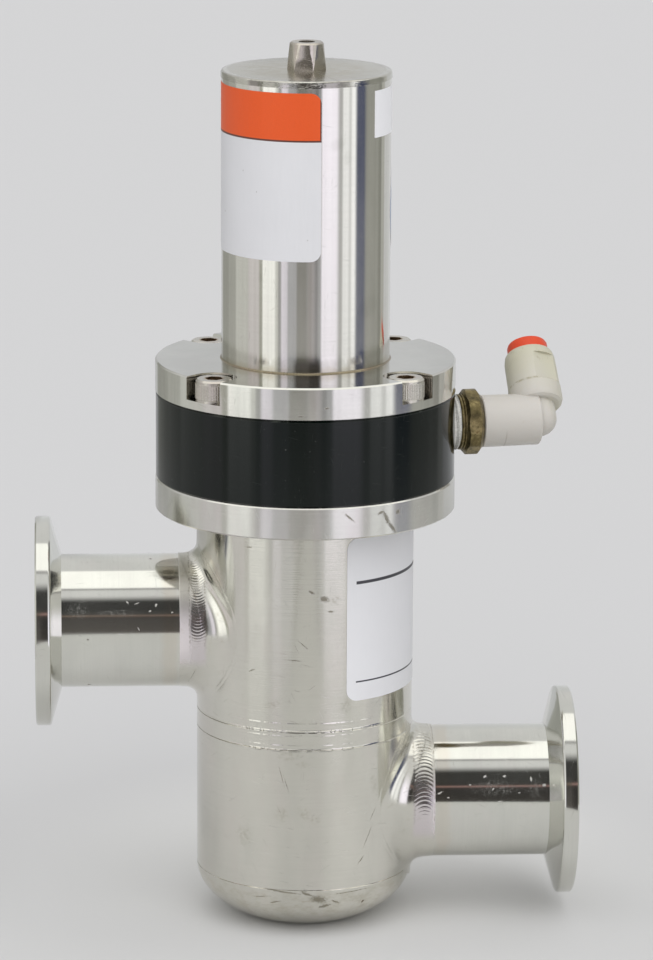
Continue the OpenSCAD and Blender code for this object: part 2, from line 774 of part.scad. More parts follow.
module collet() {
    blade = 0.25;
    color("silver") leg_axis() difference() {
        union() {
            tube(socket_r - seat_play, button_sleeve_r, socket_z + 1.82, collet_top);
            translate([0, 0, socket_z + 1.82]) rotate_extrude() polygon([
                [hose_bore_r, blade + 0.6], [hose_bore_r, 0.6], [socket_r - 0.3, 0], [socket_r - 0.3, blade]
            ]);
        }
        for (turn = [0:45:135])
            rotate([0, 0, turn]) translate([-socket_r + 0.6, -0.2, socket_z + 1]) cube([2 * socket_r - 1.2, 0.4, 2.2]);
    }
}

module release_button() {
    top = leg_h + button_h;
    rim_z = mouth_z + press + 0.15;
    color("orangered") leg_axis() rotate_extrude() polygon([
        [hose_bore_r, socket_z + 2.9 + press], [button_sleeve_r - 0.15, socket_z + 2.9 + press],
        [button_sleeve_r - run_play, socket_z + 3.4 + press], [button_sleeve_r - run_play, rim_z],
        [button_r, rim_z], [button_r, top - 0.6], [button_r - 0.2, top - 0.2], [button_r - 0.6, top],
        [hose_bore_r + 0.5, top], [hose_bore_r, top - 0.4]
    ]);
}

end_cap();
lower_tube();
seat_ring();
upper_tube();
lower_port_collar();
upper_port_collar();
lower_port();
upper_port();
body_flange();
bonnet();
bonnet_oring();
stem_bush();
stem_oring();
bellows_top_cuff();
bellows();
bellows_bottom_cuff();
poppet();
poppet_seal();
seal_retainer();
retainer_screw();
stem();
piston();
piston_seal();
piston_washer();
piston_nut();
air_cylinder();
cylinder_orings();
top_flange();
cap_screws();
spring();
spring_tube();
tube_cap();
vent_plug();
air_stud();
stud_oring();
elbow_body();
tube_seal();
collet();
release_button();
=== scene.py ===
import json
import math
from functools import reduce

import bmesh
import bpy
import numpy as np
from mathutils import Matrix, Vector

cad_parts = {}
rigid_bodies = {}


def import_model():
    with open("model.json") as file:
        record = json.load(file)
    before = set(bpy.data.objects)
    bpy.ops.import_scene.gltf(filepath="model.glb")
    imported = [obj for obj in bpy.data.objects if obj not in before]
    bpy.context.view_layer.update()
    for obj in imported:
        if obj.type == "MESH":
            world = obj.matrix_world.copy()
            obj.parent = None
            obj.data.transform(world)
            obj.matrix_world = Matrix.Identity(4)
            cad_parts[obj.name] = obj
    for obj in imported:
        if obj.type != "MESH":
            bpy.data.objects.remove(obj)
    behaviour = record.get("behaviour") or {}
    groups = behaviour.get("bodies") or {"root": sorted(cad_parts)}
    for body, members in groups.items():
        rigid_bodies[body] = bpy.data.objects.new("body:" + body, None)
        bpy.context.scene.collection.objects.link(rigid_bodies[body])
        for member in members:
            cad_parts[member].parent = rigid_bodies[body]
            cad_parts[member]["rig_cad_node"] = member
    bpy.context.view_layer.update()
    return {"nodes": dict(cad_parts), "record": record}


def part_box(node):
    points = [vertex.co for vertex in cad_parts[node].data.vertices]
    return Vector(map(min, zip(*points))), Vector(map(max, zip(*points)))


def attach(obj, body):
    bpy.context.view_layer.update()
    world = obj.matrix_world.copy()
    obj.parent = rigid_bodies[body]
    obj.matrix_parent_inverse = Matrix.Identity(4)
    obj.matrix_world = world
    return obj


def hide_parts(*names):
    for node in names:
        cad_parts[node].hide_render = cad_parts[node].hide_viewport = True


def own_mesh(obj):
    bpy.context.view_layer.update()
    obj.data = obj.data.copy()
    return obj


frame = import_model()
rng = np.random.default_rng(11)
MM = 0.001


def level(node, top):
    """Lowest or highest z of a CAD node, in mm."""
    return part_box(node)[1 if top else 0].z / MM


def radius_of(node):
    """Radius of a round CAD node, in mm."""
    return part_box(node)[1].y / MM


BODY_R = radius_of("lower_tube")
TUBE_R = radius_of("spring_tube")
PORT_R = 12.7
FLANGE_TOP = level("top_flange", True)
TUBE_TOP = level("spring_tube", True)
CYL_LOW = level("air_cylinder", False)
CYL_TOP = level("air_cylinder", True)
TANGENT = level("end_cap", True)
SEAT_LOW, SEAT_TOP = level("seat_ring", False), level("seat_ring", True)
LOWER_Z = (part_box("lower_port")[0].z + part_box("lower_port")[1].z) / 2 / MM
UPPER_Z = (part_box("upper_port")[0].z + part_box("upper_port")[1].z) / 2 / MM
FLANGE_R = 28.45
SCREW_CIRCLE = 25.2
SCREW_AT = SCREW_CIRCLE * math.cos(math.radians(45))
HEAD_R = 3.45
# Air fitting: height and turn of its stud, distance out and lean of the elbow's leg.
FIT_Z = CYL_LOW + 8.9
FIT_TURN = math.radians(8)
LEG_X = 45.6
LEG_LEAN = math.radians(43)
# Edges flatter than this are shaded smooth, and vertices closer than this are one.
SMOOTH_BELOW = math.radians(28)
MERGE_WITHIN = 0.002 * MM


def linear(*rgb):
    """Linear colour of an sRGB colour given as 0 to 255."""
    return tuple(((v / 255 + 0.055) / 1.055) ** 2.4 if v > 10 else v / 255 / 12.92 for v in rgb) + (1.0,)


def grey(v):
    return (v, v, v, 1.0)


class Nodes:
    """Short calls for a node tree. Each call returns the output socket."""

    def __init__(self, tree):
        self.tree = tree
        tree.nodes.clear()

    def put(self, socket, value):
        if isinstance(value, bpy.types.NodeSocket):
            self.tree.links.new(value, socket)
        elif value is not None:
            socket.default_value = value

    def add(self, kind, *values, out=0, props=None, **inputs):
        """One node: values fill its inputs in order, the others go by name."""
        node = self.tree.nodes.new("ShaderNode" + kind)
        for key, value in (props or {}).items():
            setattr(node, key, value)
        for i, value in enumerate(values):
            self.put(node.inputs[i], value)
        for key, value in inputs.items():
            self.put(node.inputs[key.replace("_", " ")], value)
        return node.outputs[out] if len(node.outputs) else None

    def math(self, op, a, b=None):
        return self.add("Math", a, b, props={"operation": op})

    def total(self, first, *rest):
        for value in rest:
            first = self.math("ADD", first, value)
        return first

    def times(self, first, *rest):
        for value in rest:
            first = self.math("MULTIPLY", first, value)
        return first

    def hypot(self, a, b):
        return self.math("SQRT", self.total(self.times(a, a), self.times(b, b)))

    def most(self, *masks):
        """The strongest of several masks."""
        return reduce(lambda a, b: self.math("MAXIMUM", a, b), masks)

    def step(self, value, low, high, a=0.0, b=1.0):
        return self.add("MapRange", value, low, high, a, b, props={"interpolation_type": "SMOOTHSTEP"})

    def band(self, value, centre, half, soft):
        """One within half of the centre, falling to zero over soft."""
        off = self.math("ABSOLUTE", self.math("SUBTRACT", value, centre))
        return self.step(off, half, half + soft, 1.0, 0.0)

    def mix(self, factor, a, b, blend="MIX"):
        node = self.tree.nodes.new("ShaderNodeMix")
        node.data_type = "RGBA"
        node.blend_type = blend
        for i, value in ((0, factor), (6, a), (7, b)):
            self.put(node.inputs[i], value)
        return node.outputs[2]

    def stain(self, colour, mask, amount, *rgb):
        """Colour turned to an sRGB colour where the mask is, by an amount."""
        return self.mix(self.times(mask, amount), colour, linear(*rgb))

    def blend(self, factor, a, b):
        """Plain values mixed by a factor."""
        return self.total(a, self.times(factor, self.math("SUBTRACT", b, a)))

    def ramp(self, factor, stops, smooth=False):
        node = self.tree.nodes.new("ShaderNodeValToRGB")
        node.color_ramp.interpolation = "EASE" if smooth else "LINEAR"
        elements = node.color_ramp.elements
        while len(elements) < len(stops):
            elements.new(0.5)
        for element, (position, colour) in zip(elements, stops):
            element.position = position
            element.color = colour if isinstance(colour, tuple) else grey(colour)
        self.put(node.inputs[0], factor)
        return node.outputs[0]

    def xyz(self, x, y, z):
        return self.add("CombineXYZ", x, y, z)

    def split(self, vector):
        return self.add("SeparateXYZ", vector).node.outputs[:3]

    def scaled(self, vector, sx, sy, sz):
        return self.add("VectorMath", vector, (sx, sy, sz), props={"operation": "MULTIPLY"})

    def noise(self, vector, scale=1.0, detail=2.0, rough=0.5, warp=0.0):
        return self.add("TexNoise", Vector=vector, Scale=scale, Detail=detail, Roughness=rough, Distortion=warp)

    def sway(self, amount, *noise):
        """Noise about zero, times an amount."""
        return self.times(self.math("SUBTRACT", self.noise(*noise), 0.5), amount)

    def voronoi(self, vector, scale, out=0):
        return self.add("TexVoronoi", Vector=vector, Scale=scale, out=out)

    def bump(self, height, distance, normal=None):
        return self.add("Bump", Strength=1.0, Distance=distance * MM, Height=height, Normal=normal)


class Surface(Nodes):
    """A material with places in mm: p, the axis coordinates along, rho and turn, and an unrolled vector flat."""

    def __init__(self, name, axis="z", centre_z=0.0, radius=20.0):
        self.material = bpy.data.materials.new(name)
        self.material.use_nodes = True
        super().__init__(self.material.node_tree)
        place = self.add("TexCoord", out="Object")
        self.p = self.add("VectorMath", place, props={"operation": "SCALE"}, Scale=1 / MM)
        self.x, self.y, self.z = x, y, z = self.split(self.p)
        self.forward = self.math("MULTIPLY", y, -1.0)
        self.along, self.across = (z, x) if axis == "z" else (x, self.math("SUBTRACT", z, centre_z))
        self.rho = self.hypot(self.across, self.forward)
        self.turn = self.math("ARCTAN2", self.across, self.forward)
        self.u = self.times(self.turn, radius)
        self.flat = self.xyz(self.u, self.along, 0.0)
        self.broken = None

    def turned(self, pitch):
        """Grain of a lathe, rings on flat faces and on round ones."""
        rings = self.times(self.total(self.along, self.rho), pitch)
        place = self.xyz(self.times(self.across, 0.06), self.times(self.forward, 0.06), rings)
        return self.noise(place, 1.0, 3.0, 0.7)

    def across_grain(self):
        """Direction across the turned grain: up the round faces, outwards on the flat ones."""
        return self.xyz(self.times(self.x, 0.003), self.times(self.y, 0.003), 1.0)

    def drawn(self, pitch):
        """Long lines along the axis."""
        across, forward = self.times(self.across, pitch), self.times(self.forward, pitch)
        return self.noise(self.xyz(across, forward, self.times(self.along, 0.05)), 1.0, 3.0, 0.7)

    def scratches(self, amount):
        """Short thin lines in four directions, as a mask."""
        found = []
        for i, (angle, threshold) in enumerate(((12, 0.0), (64, 0.012), (-33, 0.02), (97, 0.01))):
            turned = self.add("VectorRotate", self.flat, Angle=math.radians(angle),
                              props={"rotation_type": "Z_AXIS"})
            place = self.add("VectorMath", turned, (37.0 * i, 11.0 * i, 5.0 * i), props={"operation": "ADD"})
            lines = self.noise(self.scaled(place, 0.22, 7.0, 1.0), 1.0, 1.0, 0.4)
            low, high = (value - 0.06 * amount + threshold for value in (0.745, 0.79))
            found.append(self.step(lines, low, high))
        return self.most(*found)

    def specks(self, scale, share, size):
        """Scattered dots as a mask: share of the cells that hold one."""
        drift = self.scaled(self.add("TexNoise", Vector=self.flat, Scale=1.1, out=1), 0.8, 0.8, 0.0)
        wobble = self.add("VectorMath", self.flat, drift, props={"operation": "ADD"})
        near = self.voronoi(wobble, scale)
        cell = self.split(self.voronoi(wobble, scale, out=1))[0]
        return self.times(self.step(near, size * 0.5, size, 1.0, 0.0), self.step(cell, 1 - share, 1 - share + 0.02))

    def mark(self, u, v, length, width, angle):
        """One worn streak at (u, v) of the unrolled surface, broken up by noise, as a mask."""
        if self.broken is None:
            self.broken = self.math("SUBTRACT", self.noise(self.flat, 4.0, 5.0, 0.8), 0.5)
        c, s = math.cos(math.radians(angle)), math.sin(math.radians(angle))
        du, dv = self.math("SUBTRACT", self.u, u), self.math("SUBTRACT", self.along, v)
        a = self.total(self.times(du, c / length), self.times(dv, s / length))
        b = self.total(self.times(du, -s / width), self.times(dv, c / width))
        return self.step(self.math("SUBTRACT", self.times(self.broken, 4.4), self.hypot(a, b)), -1.05, -0.6)

    def finish(self, **inputs):
        shader = self.add("BsdfPrincipled", **inputs)
        self.add("OutputMaterial", shader)
        return self.material


def spots(surface, table):
    """All marks of a table joined, as a mask."""
    return surface.most(*[surface.mark(*row) for row in table])


def worked_metal(s, base, rough, pitch, mottle, scratch, speck, marks=(), coarse=0.0, grain="turned"):
    """Colour, roughness and height of stainless steel: grain, cloudy colour, scratches, specks and worn marks."""
    lines = s.turned(pitch) if grain == "turned" else s.drawn(pitch)
    cloud = s.noise(s.scaled(s.p, 1.0, 1.0, 0.35), 0.11, 4.0, 0.55, 0.3)
    hue = s.noise(s.scaled(s.p, 1.0, 1.0, 0.3), 0.23, 3.0, 0.6)
    fine = s.noise(s.p, 1.7, 3.0, 0.6)
    dark, light = [v * (1 - mottle) for v in base], [min(255, v * (1 + mottle * 0.6)) for v in base]
    colour = s.mix(s.step(cloud, 0.3, 0.7), linear(*dark), linear(*light))
    warmer = linear(base[0], base[1] * 0.965, base[2] * 0.985)
    colour = s.mix(s.times(s.step(hue, 0.45, 0.7), mottle * 8), colour, warmer)
    colour = s.mix(s.times(s.step(lines, 0.3, 0.75), 0.12), colour, linear(*[v * 0.82 for v in base]))
    scratched = s.scratches(scratch)
    colour = s.stain(colour, scratched, 0.25, 132, 128, 116)
    dotted = s.specks(0.16, speck, 0.07)
    colour = s.stain(colour, dotted, 0.75, 86, 74, 58)
    clouded, lined = s.math("SUBTRACT", cloud, 0.5), s.math("SUBTRACT", lines, 0.5)
    roughness = s.total(rough, s.times(clouded, rough * 0.5), s.times(lined, rough * 0.4),
                        s.times(scratched, 0.12), s.times(dotted, 0.3))
    height = s.total(lines, s.times(fine, coarse), s.times(scratched, -1.2))
    if marks:
        worn = spots(s, marks)
        colour = s.stain(colour, worn, 0.7, 110, 102, 80)
        roughness = s.total(roughness, s.times(worn, 0.25))
        height = s.total(height, s.times(worn, s.times(s.noise(s.flat, 5.0, 2.0), -6.0)))
    return colour, roughness, height


def steel(name, base, rough, pitch, depth, mottle, scratch, speck, radius, marks=(), tint=None,
          streak=0.0, coarse=0.0, relief=None, polish=None, grain="turned"):
    """Stainless steel. Pitch and depth are those of its grain, and streak draws the reflections out along the axis.
    Tint, relief and polish are calls that change the colour, height and roughness."""
    s = Surface(name, radius=radius)
    colour, roughness, height = worked_metal(s, base, rough, pitch, mottle, scratch, speck, marks, coarse, grain)
    if tint is not None:
        colour = tint(s, colour)
    if polish is not None:
        roughness = polish(s, roughness)
    normal = s.bump(height, depth)
    if relief is not None:
        normal = s.bump(relief(s), 0.2, normal=normal)
    return s.finish(Base_Color=colour, Metallic=1.0, Roughness=s.math("MAXIMUM", roughness, 0.03), Normal=normal,
                    Anisotropic=streak, Tangent=s.across_grain() if streak else None)


def lengthwise(table):
    """Marks of a port given as (x, turn, length, width, slant), in the order that a surface takes."""
    return tuple((u, x, length * 0.65, width * 0.55, 90 - slant) for x, u, length, width, slant in table)


def port_steel(name, centre_z, flecks, haze):
    """Polished tube with dust flecks and hazy patches that stay bright in the dark part of the reflection, and
    painted shade on its underside.
    """
    s = Surface(name, "x", centre_z, PORT_R)
    colour, roughness, height = worked_metal(s, (226, 226, 219), 0.1, 8.0, 0.02, 0.15, 0.1)
    patch = spots(s, haze)
    mist = s.times(patch, s.step(s.noise(s.flat, 1.4, 4.0, 0.7), 0.4, 0.75), 0.2)
    crumbs = s.times(patch, s.specks(1.6, 0.3, 0.2), 0.4)
    pale = s.most(s.times(spots(s, flecks), 0.65), mist, crumbs)
    away = s.math("ABSOLUTE", s.x)
    wave = s.total(away, s.sway(1.6, s.p, 0.35, 2.0))
    colour = s.stain(colour, s.band(wave, 26.0, 0.6, 1.6), 0.25, 216, 200, 178)
    # Painted shade: the colour darkens towards the bottom of the tube.
    colour = s.stain(colour, s.step(s.across, -6.0, -12.0), 0.3, 176, 174, 166)
    colour = s.mix(pale, colour, linear(214, 210, 206))
    return s.finish(Base_Color=colour, Metallic=s.math("SUBTRACT", 1.0, s.times(pale, 0.8)),
                    Roughness=s.total(roughness, s.times(pale, 0.4)), Normal=s.bump(height, 0.0012))


SEAMS = (TANGENT, SEAT_LOW, SEAT_TOP)
# Height and strength of each ridge beside the seams.
RIDGES = (
    (SEAT_LOW, 0.9), (SEAT_LOW + 0.8, 0.06), (SEAT_TOP + 0.15, 1.0), (SEAT_TOP - 0.85, 0.05),
    (SEAT_TOP + 1.6, 0.07), (TANGENT, 0.12))
# Painted reflection bands: brightness painted into the body's colour at turns from the front, in degrees.
PAINTED_BAND_SHADES = (
    (-90, 0.8), (-72, 0.84), (-60, 0.88), (-46, 0.95), (-25, 1.03), (-6, 0.93), (3, 0.93), (17, 1.07), (36, 1.05),
    (62, 1.0), (90, 0.94))


def uneven(s, colour, amount=1.0):
    """Painted reflection: lighter and darker bands painted into the colour round the body, by the turn from the
    front.
    """
    degrees = s.add("MapRange", s.turn, math.radians(-90), math.radians(90), 0.0, 1.0)
    shade = s.ramp(degrees, [((a + 90) / 180, v * 0.9) for a, v in PAINTED_BAND_SHADES], smooth=True)
    amount = s.times(s.step(s.z, SEAT_TOP + 8, SEAT_LOW, 0.35, 1.0), amount)
    return s.mix(amount, colour, s.scaled(shade, 1.11, 1.11, 1.11), "MULTIPLY")


def body_tint(s, colour):
    """Painted reflection bands round the body, faint brown film at its welds, pale smudges, and a dish that is
    darker and yellower in blotches.
    """
    # Painted reflection bands over the whole body.
    colour = uneven(s, colour)
    wave = s.total(s.z, s.sway(0.5, s.flat, 0.5, 2.0))
    stained = s.step(s.noise(s.flat, 0.35, 3.0, 0.6), 0.42, 0.62)
    near = s.times(s.most(*[s.band(wave, z, 0.06, 0.3) for z in SEAMS]), stained)
    colour = s.stain(colour, near, 0.12, 150, 146, 128)
    smudged = s.times(spots(s, BODY_SMUDGES), s.step(s.noise(s.flat, 1.3, 4.0, 0.75), 0.4, 0.6))
    colour = s.stain(colour, smudged, 0.28, 158, 152, 130)
    # Darker, yellower blotches on the dish below its tangent line.
    blotched = s.step(s.noise(s.scaled(s.flat, 0.6, 1.2, 1.0), 0.5, 5.0, 0.75), 0.4, 0.68)
    low = s.times(s.step(s.z, TANGENT + 0.5, TANGENT - 1.5), blotched)
    return s.stain(colour, low, 0.35, 170, 160, 132)


def seam_relief(s):
    """Low broken ridges beside the seams: they catch the light in dashes at the front and fade to the sides."""
    front = s.band(s.u, -1.5, 8.0, 9.0)
    dash = s.step(s.noise(s.scaled(s.flat, 1.0, 0.15, 1.0), 0.42, 3.0, 0.6), 0.42, 0.5)
    found = s.total(*[s.times(s.band(s.z, z, 0.06, 0.28), amount) for z, amount in RIDGES])
    return s.times(found, s.total(0.06, s.times(front, dash, 0.94)))


def foot_tint(s, colour):
    """Straw tint round the weld at the foot of the spring tube, and grey rubbed patches higher up."""
    wave = s.total(s.z, s.sway(2.0, s.flat, 0.3, 2.0))
    straw = s.step(wave, FLANGE_TOP + 0.3, FLANGE_TOP + 1.6, 1.0, 0.0)
    colour = s.stain(colour, straw, 0.4, 178, 166, 138)
    rubbed = spots(s, ((5.2, 152.2, 1.8, 1.2, 20), (7.2, 149.6, 0.8, 1.6, 0), (-9.6, 127.0, 0.6, 1.0, 0),
                       (12.5, 121.0, 3.0, 2.2, 30)))
    return s.stain(colour, rubbed, 0.14, 160, 158, 148)


def cap_tint(s, colour):
    """Brown dust and stains on the closed top of the spring tube, thickest round the plug, and painted dark
    reflections in two places on the side of its rim.
    """
    stain = s.times(s.step(s.noise(s.p, 0.35, 5.0, 0.7), 0.3, 0.62), s.step(s.rho, 16.5, 9.0))
    colour = s.mix(s.total(s.times(stain, 0.4), s.step(s.rho, 16.0, 7.0, 0.0, 0.3)), colour, linear(178, 170, 148))
    # Painted reflection: two dark segments painted on the side of the rim.
    painted_dark_segments = s.math("MAXIMUM", s.band(s.u, -8.6, 2.4, 1.2), s.band(s.u, 4.6, 2.0, 1.2))
    side = s.times(s.step(s.rho, 14.8, 15.2), s.band(s.z, TUBE_TOP + 0.6, 0.35, 0.35))
    colour = s.stain(colour, s.times(painted_dark_segments, side), 0.6, 96, 94, 86)
    grains = s.math("MAXIMUM", s.specks(1.5, 0.16, 0.18), s.specks(0.7, 0.14, 0.12))
    return s.mix(s.times(grains, s.step(s.rho, 15.4, 9.0, 0.25, 0.8)), colour, linear(112, 92, 64))


def rim_relief(s):
    """Uneven dressed weld round the rim of the closed top."""
    return s.times(s.step(s.rho, 14.7, 15.0), s.noise(s.scaled(s.flat, 0.5, 1.5, 1.0), 0.9, 3.0, 0.6), 0.6)


def rim_polish(s, roughness):
    """The rim of the closed top is bright where the top itself is dull."""
    return s.times(roughness, s.step(s.rho, 14.7, 15.1, 1.0, 0.4))


def flange_polish(s, roughness):
    """The flat top of the flange mirrors the tube more clearly than its rim."""
    return s.times(roughness, s.step(s.z, FLANGE_TOP - 0.15, FLANGE_TOP - 0.02, 1.0, 0.7))


def flange_tint(s, colour):
    """The flat top of the flange is a little duller than its rim."""
    return s.mix(s.step(s.z, FLANGE_TOP - 0.15, FLANGE_TOP - 0.02, 0.0, 0.4), colour, linear(188, 188, 186))


def socket_tint(s, colour):
    """Brown residue inside the sockets of the four screws."""
    dx = s.math("SUBTRACT", s.math("ABSOLUTE", s.x), SCREW_AT)
    dy = s.math("SUBTRACT", s.math("ABSOLUTE", s.y), SCREW_AT)
    inside = s.step(s.total(s.hypot(dx, dy), s.sway(0.4, s.p, 2.0)), 2.0, 1.7)
    return s.stain(colour, inside, 0.8, 176, 150, 116)


# Worn marks as (turn times radius, height, length, width, slant).
BODY_MARKS = (
    (2.7, 67.15, 0.9, 0.6, -15), (0.3, 68.5, 0.6, 0.25, -35), (4.0, 64.65, 0.6, 0.2, -5),
    (-1.2, 58.3, 1.2, 0.09, -42), (-2.9, 55.3, 1.5, 0.1, -4), (-11.2, 52.75, 0.9, 0.13, 25),
    (12.0, 19.6, 2.2, 0.07, 63), (13.2, 23.9, 1.2, 0.06, 60), (-5.2, 32.4, 1.9, 0.06, 105),
    (-4.3, 31.0, 1.5, 0.06, 108), (-12.0, 76.5, 0.9, 0.12, 5), (10.4, 15.2, 1.0, 0.12, 50))
BODY_SMUDGES = (
    (-5.2, 25.0, 1.4, 1.6, 0), (-1.0, 25.4, 1.6, 1.2, -30), (1.0, 24.0, 1.2, 0.8, 0), (-3.9, 36.6, 2.2, 1.0, 0),
    (-1.2, 35.0, 1.5, 0.6, 0), (4.6, 66.8, 1.6, 1.0, 0), (13.5, 30.0, 1.0, 2.4, 10), (-13.0, 20.0, 1.6, 2.2, 0),
    (7.0, 46.0, 1.2, 1.6, 0), (-7.0, 46.5, 1.6, 0.8, 20))
CAP_MARKS = (
    (-5.2, 9.75, 3.8, 0.16, -6), (1.9, 8.2, 1.7, 0.8, -10), (3.2, 6.6, 1.3, 0.35, 12), (8.2, 9.25, 3.6, 0.1, 2),
    (-0.4, 9.4, 1.4, 0.3, -20), (-9.5, 8.3, 1.8, 0.1, 8), (-6.6, 7.4, 1.2, 0.14, 15), (5.4, 7.4, 1.0, 0.2, -25))
FLANGE_MARKS = (
    (6.9, 84.6, 1.3, 0.2, -42), (14.6, 83.7, 1.6, 0.4, -65), (15.9, 81.8, 1.6, 0.35, -50),
    (13.4, 84.9, 0.7, 0.3, 20), (17.2, 84.6, 0.5, 0.5, 0), (2.6, 105.4, 0.5, 0.2, 10), (-2.1, 103.9, 0.7, 0.1, 3))
LEFT_FLECKS = lengthwise((
    (-34.0, 6.6, 0.55, 0.25, -50), (-32.2, 6.4, 0.7, 0.2, 20), (-28.6, 6.05, 0.55, 0.4, 70),
    (-29.75, 4.9, 0.4, 0.3, 30), (-31.9, 1.5, 0.6, 0.18, -60), (-25.6, 4.6, 0.3, 0.3, 0),
    (-35.4, 0.6, 0.9, 0.1, 0)))
LEFT_HAZE = lengthwise(((-43.4, 5.0, 3.2, 2.6, 0), (-36.0, 4.6, 6.0, 1.2, 0)))
RIGHT_FLECKS = lengthwise((
    (34.1, 6.2, 0.6, 0.45, 40), (37.8, 6.2, 0.5, 0.4, 0), (25.4, 3.1, 0.9, 0.28, 25), (35.6, 3.75, 0.5, 0.25, 60),
    (42.9, 5.6, 0.3, 0.9, 10), (31.2, 4.6, 0.3, 0.25, 0), (27.0, 2.2, 0.4, 0.2, 0), (45.4, 4.4, 0.5, 0.5, 0),
    (36.9, 1.4, 0.8, 0.15, 5), (40.6, 3.0, 0.35, 0.2, 0)))
RIGHT_HAZE = lengthwise(((36.0, 4.0, 7.0, 2.8, 0), (43.6, 3.8, 2.4, 3.0, 0)))
BODY_LOOK = dict(base=(224, 222, 213), rough=0.13, pitch=5.0, mottle=0.025, scratch=0.25, speck=0.1, coarse=0.5)

materials = {
    "body_steel": steel("body_steel", depth=0.004, radius=BODY_R, marks=BODY_MARKS + CAP_MARKS, tint=body_tint,
                        relief=seam_relief, streak=0.3, **BODY_LOOK),
    "lower_port": port_steel("port_steel_lower", LOWER_Z, RIGHT_FLECKS, RIGHT_HAZE),
    "upper_port": port_steel("port_steel_upper", UPPER_Z, LEFT_FLECKS, LEFT_HAZE),
    "flange_steel": steel("flange_steel", (222, 221, 215), 0.16, 9.0, 0.002, 0.04, 0.25, 0.12, FLANGE_R,
                          FLANGE_MARKS, streak=0.75),
    "top_flange": steel("top_flange_steel", (220, 219, 212), 0.11, 9.0, 0.0012, 0.04, 0.25, 0.12, FLANGE_R,
                        FLANGE_MARKS, flange_tint, streak=0.7, polish=flange_polish),
    "tube_cap": steel("tube_cap_steel", (208, 206, 198), 0.23, 7.0, 0.004, 0.05, 0.35, 0.3, 15.0, tint=cap_tint,
                      relief=rim_relief, streak=0.3, polish=rim_polish),
    "tube_steel": steel("tube_steel", (224, 222, 215), 0.13, 9.0, 0.0006, 0.02, 0.25, 0.15, TUBE_R, tint=foot_tint,
                        streak=0.88),
    "bellows_steel": steel("bellows_steel", (214, 214, 212), 0.22, 4.0, 0.003, 0.05, 0.1, 0.05, 13.0),
    "screw_steel": steel("screw_steel", (208, 204, 194), 0.26, 9.0, 0.006, 0.08, 0.3, 0.2, 25.0, tint=socket_tint),
    "plug_steel": steel("plug_steel", (208, 201, 190), 0.26, 8.0, 0.006, 0.1, 0.55, 0.3, 4.0, coarse=0.5),
    "spring_steel": steel("spring_steel", (190, 189, 186), 0.3, 3.0, 0.004, 0.06, 0.2, 0.1, 12.0, grain="drawn"),
    "piston_alloy": steel("piston_alloy", (220, 221, 224), 0.32, 8.0, 0.005, 0.05, 0.2, 0.1, 18.0),
}


def black_anodised():
    """Black ring with powder in its grain and rubbed edges."""
    s = Surface("black_anodised", radius=28.0)
    lines = s.turned(7.0)
    cloud = s.noise(s.p, 0.15, 4.0, 0.6)
    powder = s.times(s.specks(1.1, 0.25, 0.12), s.step(s.noise(s.p, 0.25, 3.0), 0.4, 0.65))
    colour = s.mix(cloud, linear(2, 9, 6), linear(5, 13, 10))
    colour = s.stain(colour, powder, 0.5, 96, 98, 94)
    scratched = s.scratches(0.1)
    colour = s.stain(colour, scratched, 0.25, 72, 76, 72)
    edge = s.math("MAXIMUM", s.band(s.z, CYL_LOW, 0.1, 0.2), s.band(s.z, CYL_TOP, 0.1, 0.2))
    colour = s.mix(s.times(edge, s.step(s.noise(s.flat, 0.5, 3.0), 0.55, 0.7), 0.5), colour, linear(74, 78, 72))
    rough = s.total(0.07, s.times(lines, 0.05), s.times(cloud, 0.03), s.times(powder, 0.2))
    return s.finish(Base_Color=colour, Roughness=rough, Specular_IOR_Level=0.34,
                    Normal=s.bump(s.total(lines, s.times(scratched, -1.0)), 0.002))


def bronze():
    s = Surface("bronze", radius=5.0)
    grains = s.voronoi(s.p, 3.2)
    colour = s.mix(s.step(grains, 0.1, 0.7), linear(186, 142, 84), linear(120, 88, 52))
    return s.finish(Base_Color=colour, Metallic=1.0, Roughness=s.total(0.3, s.times(grains, 0.2)),
                    Normal=s.bump(grains, 0.03))


def stud_brass():
    s = Surface("stud_brass", radius=5.0)
    cloud = s.noise(s.p, 0.5, 5.0, 0.65, 0.4)
    patch = s.noise(s.p, 2.2, 3.0, 0.6)
    colour = s.ramp(cloud, [(0.3, linear(84, 76, 52)), (0.48, linear(120, 108, 74)), (0.62, linear(152, 138, 98)),
                            (0.75, linear(110, 90, 56))])
    colour = s.mix(s.step(patch, 0.55, 0.75), colour, linear(74, 66, 46))
    rough = s.total(0.22, s.times(patch, 0.35))
    return s.finish(Base_Color=colour, Metallic=0.9, Roughness=rough,
                    Normal=s.bump(s.total(patch, s.scratches(0.6)), 0.02))


